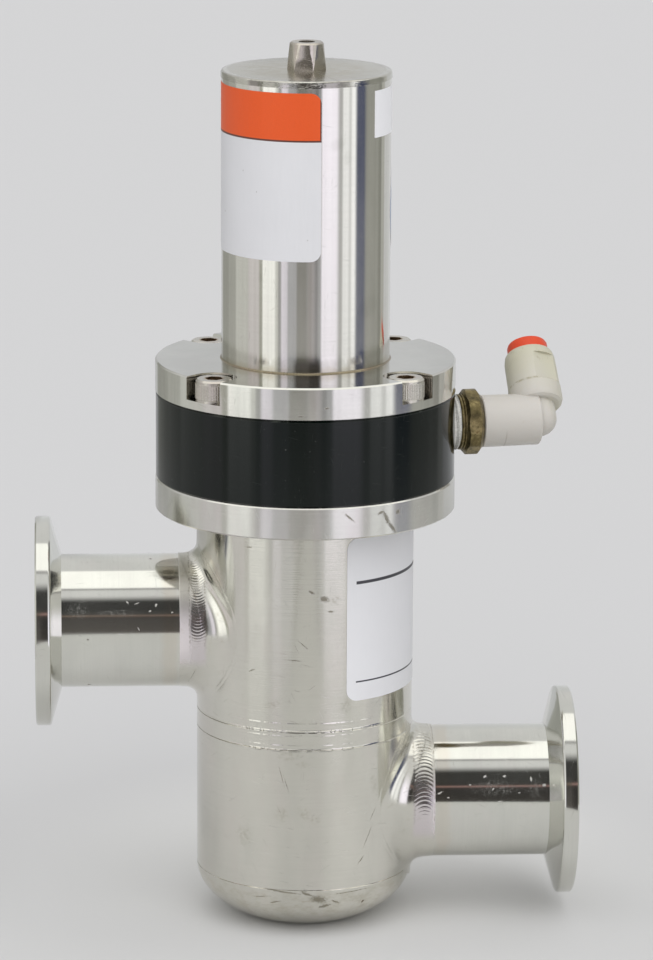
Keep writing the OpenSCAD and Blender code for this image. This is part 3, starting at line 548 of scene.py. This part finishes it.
def nylon():
    """Off-white elbow, yellowed behind, with its mould seam and grime at the joints."""
    s = Surface("nylon", radius=5.0)
    cloud = s.noise(s.p, 0.18, 3.0, 0.5)
    grain = s.noise(s.p, 6.0, 3.0, 0.7)
    yellow = s.step(s.total(s.y, s.times(cloud, 6.0)), 6.0, 16.0)
    colour = s.mix(yellow, linear(198, 194, 188), linear(194, 191, 171))
    colour = s.stain(colour, s.step(grain, 0.55, 0.8), 0.3, 180, 172, 160)
    smudge = s.step(s.noise(s.p, 0.7, 4.0, 0.7, 0.5), 0.6, 0.78)
    colour = s.stain(colour, smudge, 0.25, 176, 164, 142)
    out = s.total(s.times(s.x, math.cos(FIT_TURN)), s.times(s.y, math.sin(FIT_TURN)))
    seam = s.times(s.band(out, 38.2, 0.05, 0.12), s.step(s.z, FIT_Z - 0.5, FIT_Z - 2.5))
    colour = s.stain(colour, seam, 0.45, 150, 142, 128)
    up = (-math.sin(LEG_LEAN) * math.sin(FIT_TURN), math.sin(LEG_LEAN) * math.cos(FIT_TURN), math.cos(LEG_LEAN))
    foot = (LEG_X * math.cos(FIT_TURN), LEG_X * math.sin(FIT_TURN), FIT_Z)
    rise = s.total(s.times(s.x, up[0]), s.times(s.y, up[1]), s.times(s.z, up[2]),
                   -sum(a * b for a, b in zip(up, foot)))
    grime = s.times(s.band(rise, 6.45, 0.08, 0.3), s.step(s.noise(s.p, 0.9, 4.0, 0.7), 0.4, 0.6))
    streaks = s.step(s.noise(s.scaled(s.p, 1.0, 1.0, 0.4), 0.8, 5.0, 0.75), 0.56, 0.68)
    grime = s.math("MAXIMUM", grime, s.times(s.band(rise, 12.2, 1.6, 0.8), streaks, 0.6))
    colour = s.stain(colour, grime, 0.55, 140, 128, 88)
    return s.finish(Base_Color=colour, Roughness=s.total(0.34, s.times(grain, 0.14)), Subsurface_Weight=0.25,
                    Subsurface_Radius=(1.0, 0.85, 0.7), Subsurface_Scale=0.8 * MM, Normal=s.bump(grain, 0.01))


def button_orange():
    s = Surface("button_orange", radius=4.0)
    grain = s.noise(s.p, 5.0, 3.0, 0.65)
    cloud = s.noise(s.p, 0.9, 3.0, 0.5)
    colour = s.mix(cloud, linear(220, 70, 15), linear(208, 58, 12))
    colour = s.stain(colour, s.step(grain, 0.6, 0.85), 0.2, 224, 112, 76)
    return s.finish(Base_Color=colour, Roughness=s.total(0.3, s.times(grain, 0.16)), Subsurface_Weight=0.15,
                    Subsurface_Radius=(1.0, 0.3, 0.15), Subsurface_Scale=0.6 * MM, Normal=s.bump(grain, 0.012))


def rubber():
    s = Surface("rubber", radius=12.0)
    grain = s.noise(s.p, 4.0, 4.0, 0.7)
    colour = s.mix(grain, linear(36, 36, 37), linear(58, 58, 58))
    return s.finish(Base_Color=colour, Roughness=s.total(0.5, s.times(grain, 0.25)), Normal=s.bump(grain, 0.015))


def sealant():
    s = Surface("thread_sealant", radius=5.0)
    grain = s.noise(s.p, 3.0, 5.0, 0.75)
    colour = s.mix(s.step(grain, 0.35, 0.7), linear(196, 194, 188), linear(236, 236, 232))
    return s.finish(Base_Color=colour, Roughness=0.6, Normal=s.bump(grain, 0.05))


def film(name, radius, fields, print_more=None, white=218):
    """Printed film: fields are (low, high, left, right, colour) areas in mm of height and of turn times radius."""
    s = Surface(name, radius=radius)
    cloud = s.noise(s.p, 0.12, 3.0, 0.5)
    grain = s.noise(s.p, 5.0, 3.0, 0.6)
    colour = s.mix(cloud, linear(white, white, white + 4), linear(white + 6, white + 6, white + 10))
    for low, high, left, right, rgb in fields:
        tall = s.band(s.z, (low + high) / 2, (high - low) / 2, 0.05)
        wide = s.band(s.u, (left + right) / 2, (right - left) / 2, 0.05)
        ink = s.mix(grain, linear(*rgb), linear(*[min(255, v * 1.06 + 3) for v in rgb]))
        colour = s.mix(s.times(tall, wide), colour, ink)
    if print_more is not None:
        colour = print_more(s, colour)
    dirt = s.specks(0.3, 0.1, 0.06)
    colour = s.stain(colour, dirt, 0.5, 128, 122, 112)
    creases = s.noise(s.scaled(s.flat, 0.5, 0.12, 1.0), 1.0, 2.0, 0.5, 0.4)
    return s.finish(Base_Color=colour, Roughness=s.total(0.36, s.times(grain, 0.1)),
                    Normal=s.bump(s.total(s.times(creases, 6.0), grain), 0.01))


for make in (black_anodised, bronze, stud_brass, nylon, button_orange, rubber):
    materials[make.__name__] = make()


def smooth_group():
    """Modifier that joins the split vertices and shades round surfaces smooth, keeping real edges sharp."""
    group = bpy.data.node_groups.new("smooth_shading", "GeometryNodeTree")
    group.interface.new_socket("Geometry", in_out="INPUT", socket_type="NodeSocketGeometry")
    group.interface.new_socket("Geometry", in_out="OUTPUT", socket_type="NodeSocketGeometry")
    add, link = group.nodes.new, group.links.new
    start, end = add("NodeGroupInput"), add("NodeGroupOutput")
    weld = add("GeometryNodeMergeByDistance")
    faces, edges = (add("GeometryNodeSetShadeSmooth") for _ in range(2))
    weld.inputs["Distance"].default_value = MERGE_WITHIN
    edges.domain = "EDGE"
    angle, compare = add("GeometryNodeInputMeshEdgeAngle"), add("FunctionNodeCompare")
    compare.operation = "LESS_THAN"
    compare.inputs[1].default_value = SMOOTH_BELOW
    link(start.outputs[0], weld.inputs[0])
    link(weld.outputs[0], faces.inputs[0])
    link(faces.outputs[0], edges.inputs[0])
    link(angle.outputs[0], compare.inputs[0])
    link(compare.outputs[0], edges.inputs["Shade Smooth"])
    link(edges.outputs[0], end.inputs[0])
    return group


SMOOTH = smooth_group()
SLOTS = {row["node"]: row["material_slot"] for row in frame["record"]["subparts"]}
for name, node in frame["nodes"].items():
    material = materials[name] if name in materials else materials[SLOTS[name]]
    node.data.materials.clear()
    node.data.materials.append(material)


def piece(name, points, faces, material, body, smooth=True, replaces=()):
    """A mesh piece from points in mm."""
    mesh = bpy.data.meshes.new(name)
    mesh.from_pydata([tuple(float(v) * MM for v in p) for p in points], [],
                     [tuple(int(i) for i in f) for f in faces])
    mesh.validate()
    mesh.update()
    for polygon in mesh.polygons:
        polygon.use_smooth = smooth
    mesh.materials.append(material)
    obj = bpy.data.objects.new(name, mesh)
    bpy.context.scene.collection.objects.link(obj)
    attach(obj, body)
    if replaces:
        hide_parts(*replaces)
    return obj


def grid_faces(rows, columns, closed=False):
    """Quads of a grid of points, stored row by row; where it is closed, its last column meets its first."""
    made = []
    for i in range(rows - 1):
        for j in range(columns if closed else columns - 1):
            a, b = i * columns + j, i * columns + (j + 1) % columns
            made.append((a, b, b + columns, a + columns))
    return made


def collar_steel(name, centre_z, centre, half, end):
    """Steel of the body, carrying the body's painted reflection bands away from the port, that turns pink at the
    weld and brushed beyond it, with a stained toe.
    """
    s = Surface(name, radius=BODY_R)
    colour, roughness, height = worked_metal(s, **BODY_LOOK)
    rise = s.math("SUBTRACT", s.z, centre_z)
    from_axis = s.hypot(rise, s.y)
    away = s.total(s.math("ABSOLUTE", s.x), s.sway(0.5, s.p, 0.6, 3.0))
    # The body's painted reflection bands, fading in from the edge of the port.
    colour = uneven(s, colour, s.step(from_axis, PORT_R + 0.6, PORT_R + 2.8))
    neck = s.step(s.total(from_axis, s.sway(1.0, s.p, 0.5, 3.0)), PORT_R + 1.3, PORT_R + 0.35)
    weld = s.times(neck, s.step(away, centre - half - 0.5, centre - half + 0.3), s.step(rise, -7.2, -4.2))
    fine = s.noise(s.p, 2.2, 3.0, 0.6)
    pink = s.mix(s.step(away, centre, end), linear(226, 218, 222), linear(234, 226, 230))
    colour = s.mix(s.times(weld, s.step(rise, 8.0, 2.0), 0.8), colour, pink)
    edges = s.most(s.band(away, centre - half, 0.05, 0.3), s.band(away, centre + half, 0.03, 0.2))
    toe = s.times(weld, edges, s.step(fine, 0.4, 0.6), s.step(rise, -4.0, -1.0))
    colour = s.stain(colour, toe, 0.5, 120, 108, 92)
    stain = s.times(s.step(s.noise(s.p, 0.5, 4.0, 0.7), 0.55, 0.7), s.step(from_axis, PORT_R + 3.0, PORT_R + 0.6))
    colour = s.stain(colour, stain, 0.2, 170, 158, 128)
    duller = s.step(away, centre + half * 0.6, centre + half * 1.1, 0.13, 0.36)
    rough = s.blend(weld, roughness, s.total(duller, s.times(fine, 0.1)))
    normal = s.bump(s.times(fine, weld), 0.006, normal=s.bump(height, 0.004))
    frayed = s.total(rise, s.times(s.math("SUBTRACT", fine, 0.5), 3.0))
    brushed = s.times(neck, s.step(away, centre + half * 0.6, centre + half * 1.2), s.step(frayed, -7.5, -1.5),
                      s.step(frayed, 6.5, 1.5))
    metallic, streak = s.math("SUBTRACT", 1.0, s.times(brushed, 0.5)), s.times(s.math("SUBTRACT", 1.0, weld), 0.3)
    return s.finish(Base_Color=colour, Metallic=metallic, Roughness=rough, Normal=normal, Anisotropic=streak,
                    Tangent=s.across_grain())


def collar(name, side, centre_z, centre, half, end, ripples, sag, amount, node):
    """Pulled saddle fillet, tangent to the body, with the rippled weld to the port tube, all round the port."""
    out, reach, turns = 3.2, 2.8, 1280
    turn = np.linspace(0, 2 * np.pi, turns, endpoint=False)
    far = PORT_R + reach

    def skin(rho, gap):
        return np.sqrt((BODY_R + gap) ** 2 - (rho * np.sin(turn)) ** 2)

    foot_x = skin(far, 0.03)
    corner_x = foot_x + (reach - 0.06) * far * np.sin(turn) ** 2 / foot_x
    hems = ((0.6, -0.02), (0.4, 0.004), (0.2, 0.018))
    rows = [(skin(far + more, gap), np.full(turns, far + more)) for more, gap in hems]
    for t in np.linspace(0, 1, 44):
        wa, wb, wc = (1 - t) ** 2, 2 * t * (1 - t), t * t
        rho = (wc + wb) * (PORT_R + 0.06) + wa * far
        rows.append((wc * (corner_x + out) + wb * corner_x + wa * foot_x, np.full(turns, rho)))
    start_x = rows[-1][0]
    for t in np.linspace(0.03, 1, 34):
        rho = PORT_R + 0.06 * (1 - t) + 0.02 if t < 0.985 else PORT_R - 0.02
        rows.append((start_x * (1 - t) + end * t, np.full(turns, rho)))
    points = []
    for x, rho in rows:
        local = (x - centre) / half
        bead = np.clip(1 - local ** 2, 0, 1) * np.clip(1 - (rho - PORT_R - 0.1) / 1.2, 0, 1)
        shown = np.clip((np.cos(turn) * PORT_R + 6.5) / 4.0, 0.15, 1)
        phase = ripples * turn + sag * (1 - np.minimum(local ** 2, 1))
        phase = phase + 0.9 * np.sin(7 * turn) + 0.5 * np.sin(23 * turn)
        rho = rho + 0.07 * bead + amount * np.sqrt(bead) * shown * (np.sin(phase) + 0.35 * np.sin(2 * phase + 0.6))
        points.extend(np.stack([side * x, rho * np.sin(turn), centre_z + rho * np.cos(turn)], -1))
    faces = grid_faces(len(rows), turns, closed=True)
    if side < 0:
        faces = [f[::-1] for f in faces]
    material = collar_steel(name + "_steel", centre_z, centre, half, end)
    return piece(name, points, faces, material, "valve_body", replaces=(node,))


collar("upper_weld_collar", -1, UPPER_Z, 20.8, 1.5, 24.2, 136, 7.0, 0.015, "upper_port_collar")
collar("lower_weld_collar", 1, LOWER_Z, 22.5, 2.0, 24.6, 100, -7.8, 0.026, "lower_port_collar")


def ring(turn, radius, z, x=0.0, y=0.0):
    """Points round (x, y) at one height."""
    return np.stack([x + radius * np.cos(turn), y + radius * np.sin(turn), np.full(len(turn), z)], -1)


def foot_weld():
    """Small rippled fillet weld where the spring tube stands in the top flange."""
    size, turns = 0.3, 720
    profile = [(TUBE_R + size, FLANGE_TOP - 0.05)]
    for a in np.linspace(0, math.pi / 2, 9):
        profile.append((TUBE_R + size * (1 - math.sin(a)), FLANGE_TOP + size * (1 - math.cos(a))))
    profile.append((TUBE_R - 0.05, FLANGE_TOP + size + 0.03))
    turn = np.linspace(0, 2 * np.pi, turns, endpoint=False)
    ripple = 0.03 * np.sin(180 * turn + 2 * np.sin(5 * turn))
    points = []
    for i, (r, z) in enumerate(profile):
        points.extend(ring(turn, r + ripple * math.sin(math.pi * (i / (len(profile) - 1))), z))
    material = steel("foot_weld_steel", (160, 150, 128), 0.22, 6.0, 0.004, 0.1, 0.2, 0.3, TUBE_R)
    faces = grid_faces(len(profile), turns, closed=True)
    piece("spring_tube_weld", points, faces, material, "valve_body")


foot_weld()


def knurls():
    """Straight knurling round the four screw heads."""
    seat, top, turns = FLANGE_TOP - 4.4, FLANGE_TOP - 0.2, 288
    low, high = seat + 0.5, top - 0.75
    turn = np.linspace(0, 2 * np.pi, turns, endpoint=False)
    profile = [(HEAD_R - 0.05, low - 0.1, 0.0), (HEAD_R, low, 0.4), (HEAD_R + 0.02, low + 0.12, 1.0),
               (HEAD_R + 0.02, high - 0.12, 1.0), (HEAD_R, high, 0.4), (HEAD_R - 0.05, high + 0.1, 0.0)]
    points, faces = [], []
    for k in range(4):
        a = math.radians(45 + 90 * k)
        x, y = SCREW_CIRCLE * math.cos(a), SCREW_CIRCLE * math.sin(a)
        base = len(points)
        for r, z, amount in profile:
            points.extend(ring(turn, r + 0.06 * amount * np.abs(np.sin(24 * turn)) ** 0.7, z, x, y))
        faces += [tuple(base + i for i in f) for f in grid_faces(len(profile), turns, closed=True)]
    piece("screw_head_knurls", points, faces, materials["screw_steel"], "valve_body", smooth=False)


knurls()


def compressed():
    """Bellows and spring as pieces of their own, attached to the valve body."""
    lift = next(joint for joint in frame["record"]["behaviour"]["joints"] if joint["name"] == "poppet_lift")
    for row in lift["deforming_nodes"]:
        node, anchor = row["node"], row["fixed_end_z_m"]
        low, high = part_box(node)
        mesh = frame["nodes"][node].data.copy()
        shape = bmesh.new()
        shape.from_mesh(mesh)
        bmesh.ops.remove_doubles(shape, verts=shape.verts, dist=MERGE_WITHIN)
        shape.to_mesh(mesh)
        shape.free()
        for polygon in mesh.polygons:
            polygon.use_smooth = True
        mesh.set_sharp_from_angle(angle=SMOOTH_BELOW)
        obj = bpy.data.objects.new(node + "_moving", mesh)
        bpy.context.scene.collection.objects.link(obj)
        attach(obj, "valve_body")
        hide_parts(node)
        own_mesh(obj)


compressed()


def thread_piece():
    """Visible end of the pipe thread, filled with sealant."""
    start, end, pitch, core, crest = 27.9, 29.38, 0.907, 4.93, 0.36
    turns, rows = 240, 60
    turn = np.linspace(0, 2 * np.pi, turns, endpoint=False)
    lumps = rng.normal(size=(12, 3))
    points = []
    for h in np.linspace(start, end, rows):
        phase = (h / pitch - turn / (2 * np.pi)) % 1.0
        ridge = np.abs(phase - 0.5) * 2
        smear = sum(0.012 * a * np.sin((i % 5 + 1) * turn + b * 3 + c * h * 2) for i, (a, b, c) in enumerate(lumps))
        points.extend(ring(turn, core + crest * np.clip(1.15 * ridge - 0.1, 0, 1) + smear, h))
    outwards = Matrix.Rotation(FIT_TURN, 4, "Z") @ Matrix.Rotation(math.pi / 2, 4, "Y")
    matrix = Matrix.Translation((0, 0, FIT_Z)) @ outwards
    points = [matrix @ Vector(p) for p in points]
    faces = grid_faces(rows, turns, closed=True)
    piece("fitting_thread", points, faces, sealant(), "valve_body")


thread_piece()


def film_piece(name, radius, rows, thick, material):
    """Thin film on the round of a tube from rows of (turn times radius, z), with a closed rim."""
    count, columns = sum(len(row) for row in rows), len(rows[0])
    layers = [[(lift * math.sin(u / radius), -lift * math.cos(u / radius), z) for row in rows for u, z in row]
              for lift in (radius + thick, radius + 0.005)]
    faces = grid_faces(len(rows), columns)
    last = len(rows) - 1
    rim = list(range(columns)) + [i * columns + columns - 1 for i in range(1, last + 1)]
    rim += [last * columns + j for j in range(columns - 2, -1, -1)]
    rim += [i * columns for i in range(last - 1, 0, -1)]
    for a, b in zip(rim, rim[1:] + rim[:1]):
        faces.append((b, a, a + count, b + count))
    obj = piece(name, layers[0] + layers[1], faces, material, "valve_body")
    obj.data.set_sharp_from_angle(angle=math.radians(50))


def label(name, radius, left, right, low, high, corner, thick, material):
    """Film with rounded corners: edges from left to right in degrees from the front."""
    drops = [corner * (1 - math.cos(a)) for a in np.linspace(0, math.pi / 2, 12)]
    straight = np.linspace(low + corner, high - corner, 24)[1:-1]
    heights = [low + d for d in drops] + list(straight) + [high - d for d in reversed(drops)]
    rows = []
    for z in heights:
        short = max(0.0, corner - min(z - low, high - z))
        cut = corner - math.sqrt(max(0.0, corner ** 2 - short ** 2))
        ends = math.radians(left) * radius + cut, math.radians(right) * radius - cut
        rows.append([(u, z) for u in np.linspace(*ends, 160)])
    film_piece(name, radius, rows, thick, material)


def disc_label(name, radius, centre, centre_z, size, thick, material):
    """Round film, from rows of equal height."""
    rows = []
    for a in np.linspace(-math.pi / 2 + 0.02, math.pi / 2 - 0.02, 60):
        z, half = centre_z + size * math.sin(a), size * math.cos(a)
        rows.append([(math.radians(centre) * radius + u, z) for u in np.linspace(-half, half, 80)])
    film_piece(name, radius, rows, thick, material)


RULE, ORANGE, EDGE = (58, 58, 64), (220, 82, 20), (92, 52, 40)
# Turn from the front in degrees, height and radius of the round film.
DISC_TURN, DISC_Z, DISC_R = 112.7, 137.8, 9.5


def ring_ink(s, colour):
    """Blue ring printed round the edge of the round film."""
    outer, inner = DISC_R - 0.1, DISC_R - 0.8
    far = s.hypot(s.math("SUBTRACT", s.u, math.radians(DISC_TURN) * TUBE_R), s.math("SUBTRACT", s.z, DISC_Z))
    return s.mix(s.band(far, (outer + inner) / 2, (outer - inner) / 2, 0.1), colour, linear(86, 140, 190))


body_film = film("label_white_body", BODY_R, [(69.5, 70.05, 9.1, 60.0, RULE), (50.4, 50.65, 9.1, 60.0, RULE)],
                 white=224)
tube_film = film("label_tube", TUBE_R, [(152.95, 170.5, -100.0, 100.0, ORANGE), (152.7, 153.0, -100.0, 100.0, EDGE),
                                        (152.95, 170.5, 1.82, 2.5, EDGE)])
sticker_film = film("label_sticker", TUBE_R, [], white=240)
disc_film = film("label_disc", TUBE_R, [], ring_ink)
label("body_label", BODY_R, 19.9, 110, 46.85, 78.4, 2.2, 0.09, body_film)
label("tube_label", TUBE_R, -100, 7.3, 130.35, 161.75, 2.0, 0.09, tube_film)
label("tube_sticker", TUBE_R, 50, 100, 152.6, 161.35, 0.15, 0.08, sticker_film)
disc_label("tube_disc", TUBE_R, DISC_TURN, DISC_Z, DISC_R, 0.08, disc_film)

for obj in bpy.context.scene.objects:
    if obj.type == "MESH" and "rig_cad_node" in obj and not obj.hide_render:
        modifier = obj.modifiers.new("smooth shading", "NODES")
        modifier.node_group = SMOOTH


# Walls of the room: turn from the front, from and to in degrees, and the colour that the steel shows there.
LEFT_PANELS = (
    (-180, -160, (165, 165, 160)), (-160, -134, (135, 135, 125)), (-134, -114, (150, 150, 140)),
    (-114, -88, (180, 180, 170)), (-88, -69, (190, 185, 180)), (-69, -64, (145, 145, 130)),
    (-64, -44.5, (245, 245, 235)), (-44.5, -41, (195, 195, 185)), (-41, -36.5, (135, 135, 130)),
    (-36.5, -27.5, (210, 205, 210)), (-27.5, -15, (150, 150, 150)), (-15, -2, (100, 100, 90)),
    (-2, 0, (120, 120, 115)))
RIGHT_PANELS = (
    (0, 5.5, (130, 125, 120)), (5.5, 9.5, (145, 140, 140)), (9.5, 13.5, (100, 100, 100)),
    (13.5, 18, (150, 150, 150)), (18, 39, (245, 240, 245)), (43, 48, (160, 160, 155)), (48, 57, (230, 230, 225)),
    (57, 61.5, (205, 205, 200)), (61.5, 67, (245, 245, 240)), (70, 83, (65, 70, 90)), (87, 113, (135, 135, 125)),
    (113, 121, (120, 120, 110)), (121, 130, (155, 155, 145)), (130, 180, (180, 180, 175)))
# Brightness below the part, by the turn from the front.
BELOW = (
    (-180, 0.45), (-140, 0.5), (-110, 0.58), (-70, 0.62), (-50, 0.63), (-12, 0.76), (10, 0.76), (30, 0.68),
    (60, 0.67), (80, 0.62), (140, 0.52), (180, 0.45))
# Dark front of the room, left and right: place between bottom and top, and colour.
FRONT_LEFT = (
    (0.0, 0.12, 0.11, 0.104), (0.33, 0.08, 0.074, 0.07), (0.425, 0.06, 0.052, 0.048), (0.44, 0.2, 0.15, 0.12),
    (0.46, 0.2, 0.15, 0.12), (0.475, 0.06, 0.058, 0.055), (0.6, 0.028, 0.028, 0.027), (1.0, 0.02, 0.02, 0.019))
FRONT_RIGHT = (
    (0.0, 0.055, 0.05, 0.046), (0.33, 0.03, 0.028, 0.026), (0.425, 0.03, 0.026, 0.025), (0.44, 0.36, 0.22, 0.2),
    (0.46, 0.36, 0.22, 0.2), (0.475, 0.03, 0.029, 0.027), (1.0, 0.02, 0.021, 0.018))
# Share of each colour that the steel reflects.
MIRRORED = (0.69, 0.68, 0.63)


def panels(n, degrees, table, low, high):
    """Walls of the room as panels (from, to, colour) round the part, in degrees from the front."""
    stops = []
    for start, stop, rgb in table:
        colour = tuple(v / m for v, m in zip(linear(*rgb), MIRRORED)) + (1.0,)
        stops += [((start + 0.7 - low) / (high - low), colour), ((stop - 0.7 - low) / (high - low), colour)]
    return n.ramp(n.add("MapRange", degrees, float(low), float(high), 0.0, 1.0), stops)


def studio():
    """World seen by reflections as a room with a strip light overhead, and by the camera as pale backdrop."""
    world = bpy.data.worlds.new("studio")
    bpy.context.scene.world = world
    world.use_nodes = True
    n = Nodes(world.node_tree)
    direction = n.add("VectorMath", n.add("TexCoord", out="Generated"), props={"operation": "NORMALIZE"})
    x, y, z = n.split(direction)
    forward = n.math("MULTIPLY", y, -1.0)
    degrees = n.math("MULTIPLY", n.math("ARCTAN2", x, forward), 180 / math.pi)
    height = n.math("MULTIPLY", n.math("ARCSINE", z), 180 / math.pi)
    lines = n.noise(n.xyz(n.times(degrees, 0.28), n.times(height, 0.01), 0.0), 1.0, 3.0, 0.7)
    streaks = n.step(lines, 0.25, 0.75, 0.87, 1.13)
    walls = panels(n, degrees, LEFT_PANELS, -180, 0), panels(n, degrees, RIGHT_PANELS, 0, 180)
    around = n.mix(n.math("GREATER_THAN", degrees, 0.0), *walls)
    around = n.mix(1.0, around, n.xyz(streaks, streaks, streaks), "MULTIPLY")
    high = n.mix(n.step(y, -0.2, 0.3), grey(0.74), grey(0.72))
    room = n.mix(n.step(height, 8.0, 40.0), around, high)
    below = n.ramp(n.add("MapRange", degrees, -180.0, 180.0, 0.0, 1.0), [((a + 180) / 360, v) for a, v in BELOW])
    room = n.mix(n.step(height, -12.9, -13.5), room, below)
    rise = n.add("MapRange", height, -10.0, 60.0, 0.0, 1.0)
    left, right = (n.ramp(rise, [(stop, (r, g, b, 1.0)) for stop, r, g, b in table])
                   for table in (FRONT_LEFT, FRONT_RIGHT))
    upright = n.times(n.step(height, -9.0, -6.0), n.step(height, 45.0, 58.0, 1.0, 0.0))
    front = n.times(n.band(degrees, 0.0, 14.0, 8.0), upright)
    room = n.mix(front, room, n.mix(n.step(degrees, 1.5, 3.0), left, right))
    flat_y = n.math("DIVIDE", forward, n.math("MAXIMUM", z, 0.001))
    flat_x = n.math("DIVIDE", x, n.math("MAXIMUM", z, 0.001))
    above = n.step(z, 0.2, 0.3)
    gap = n.times(above, n.band(flat_y, 0.385, 0.015, 0.04))
    room = n.mix(n.times(gap, 0.65), room, grey(0.2))
    strip = n.times(above, n.band(flat_y, 0.0, 0.33, 0.02), n.band(flat_x, 0.0, 1.5, 0.2))
    room = n.mix(strip, room, (1.3, 1.3, 1.26, 1.0))
    toward = n.math("MAXIMUM", n.total(n.times(forward, 0.62), n.times(z, 0.785)), 0.0)
    soft = n.total(0.5, n.times(n.math("POWER", toward, 3.0), 1.7))
    path = n.tree.nodes.new("ShaderNodeLightPath")
    seen = n.mix(path.outputs["Is Glossy Ray"], n.xyz(soft, soft, soft), room)
    seen = n.mix(path.outputs["Is Camera Ray"], seen, grey(0.66))
    n.add("OutputWorld", n.add("Background", seen, 1.0))


studio()


def reach_of(turn):
    """Edge of the near floor, drawn out to the front, in metres."""
    return 0.2 + 0.2 * np.clip(-np.sin(turn), 0, 1) ** 40


def floor(name, inner, outer, material, glossy):
    """Floor between two edges given as distances for every turn."""
    sides, height = 512, -0.00002
    turn = np.linspace(0, 2 * np.pi, sides, endpoint=False)
    edges = [edge(turn) for edge in (inner, outer) if edge is not None]
    points = [(r * math.cos(a), r * math.sin(a), height) for edge in edges for r, a in zip(edge, turn)]
    faces = [f[::-1] for f in grid_faces(2, sides, closed=True)] if inner else [tuple(range(sides))]
    mesh = bpy.data.meshes.new(name)
    mesh.from_pydata(points, [], faces)
    mesh.materials.append(material)
    obj = bpy.data.objects.new(name, mesh)
    bpy.context.scene.collection.objects.link(obj)
    obj.visible_glossy = glossy


def floor_material():
    """White paper, with painted light: a painted gradient that is a little lighter behind the part, and a painted
    pool of light round the part that lifts its shadow.
    """
    s = Surface("floor_paper")
    grain = s.noise(s.p, 0.8, 4.0, 0.6)
    # Painted shade: the paper darkens towards the front.
    shade = s.step(s.y, -260.0, 160.0)
    colour = s.mix(shade, linear(205, 205, 203), linear(210, 210, 211))
    # Painted light: a lighter pool round and behind the part, where its shadow falls.
    dx, dy = s.math("SUBTRACT", s.x, 10.0), s.math("SUBTRACT", s.y, 30.0)
    near = s.times(s.step(s.hypot(dx, dy), 78.0, 25.0), s.step(s.y, -28.0, 4.0))
    colour = s.mix(near, colour, linear(232, 232, 231))
    colour = s.stain(colour, grain, 0.06, 196, 196, 196)
    return s.finish(Base_Color=colour, Roughness=0.9, Specular_IOR_Level=0.1)


paper = floor_material()
floor("floor_near", None, reach_of, paper, True)
floor("floor_far", reach_of, lambda turn: np.full_like(turn, 3.2), paper, False)


def camera():
    """View of the part from the front and a little above."""
    eye = Vector((-42.2, -881.2, 293.37)) * MM
    right = Vector((0.99867, -0.05133, 0.00476)).normalized()
    up = Vector((0.00716, 0.22953, 0.97327)).normalized()
    back = right.cross(up).normalized()
    up = back.cross(right)
    data = bpy.data.cameras.new("camera")
    data.lens = 178.66
    data.sensor_width = 36
    data.sensor_fit = "AUTO"
    data.clip_start, data.clip_end = 0.05, 20.0
    obj = bpy.data.objects.new("camera", data)
    bpy.context.scene.collection.objects.link(obj)
    rows = [(right[i], up[i], back[i], eye[i]) for i in range(3)]
    obj.matrix_world = Matrix(rows + [(0, 0, 0, 1)])
    bpy.context.scene.camera = obj


camera()
bpy.context.scene.view_settings.view_transform = "Standard"
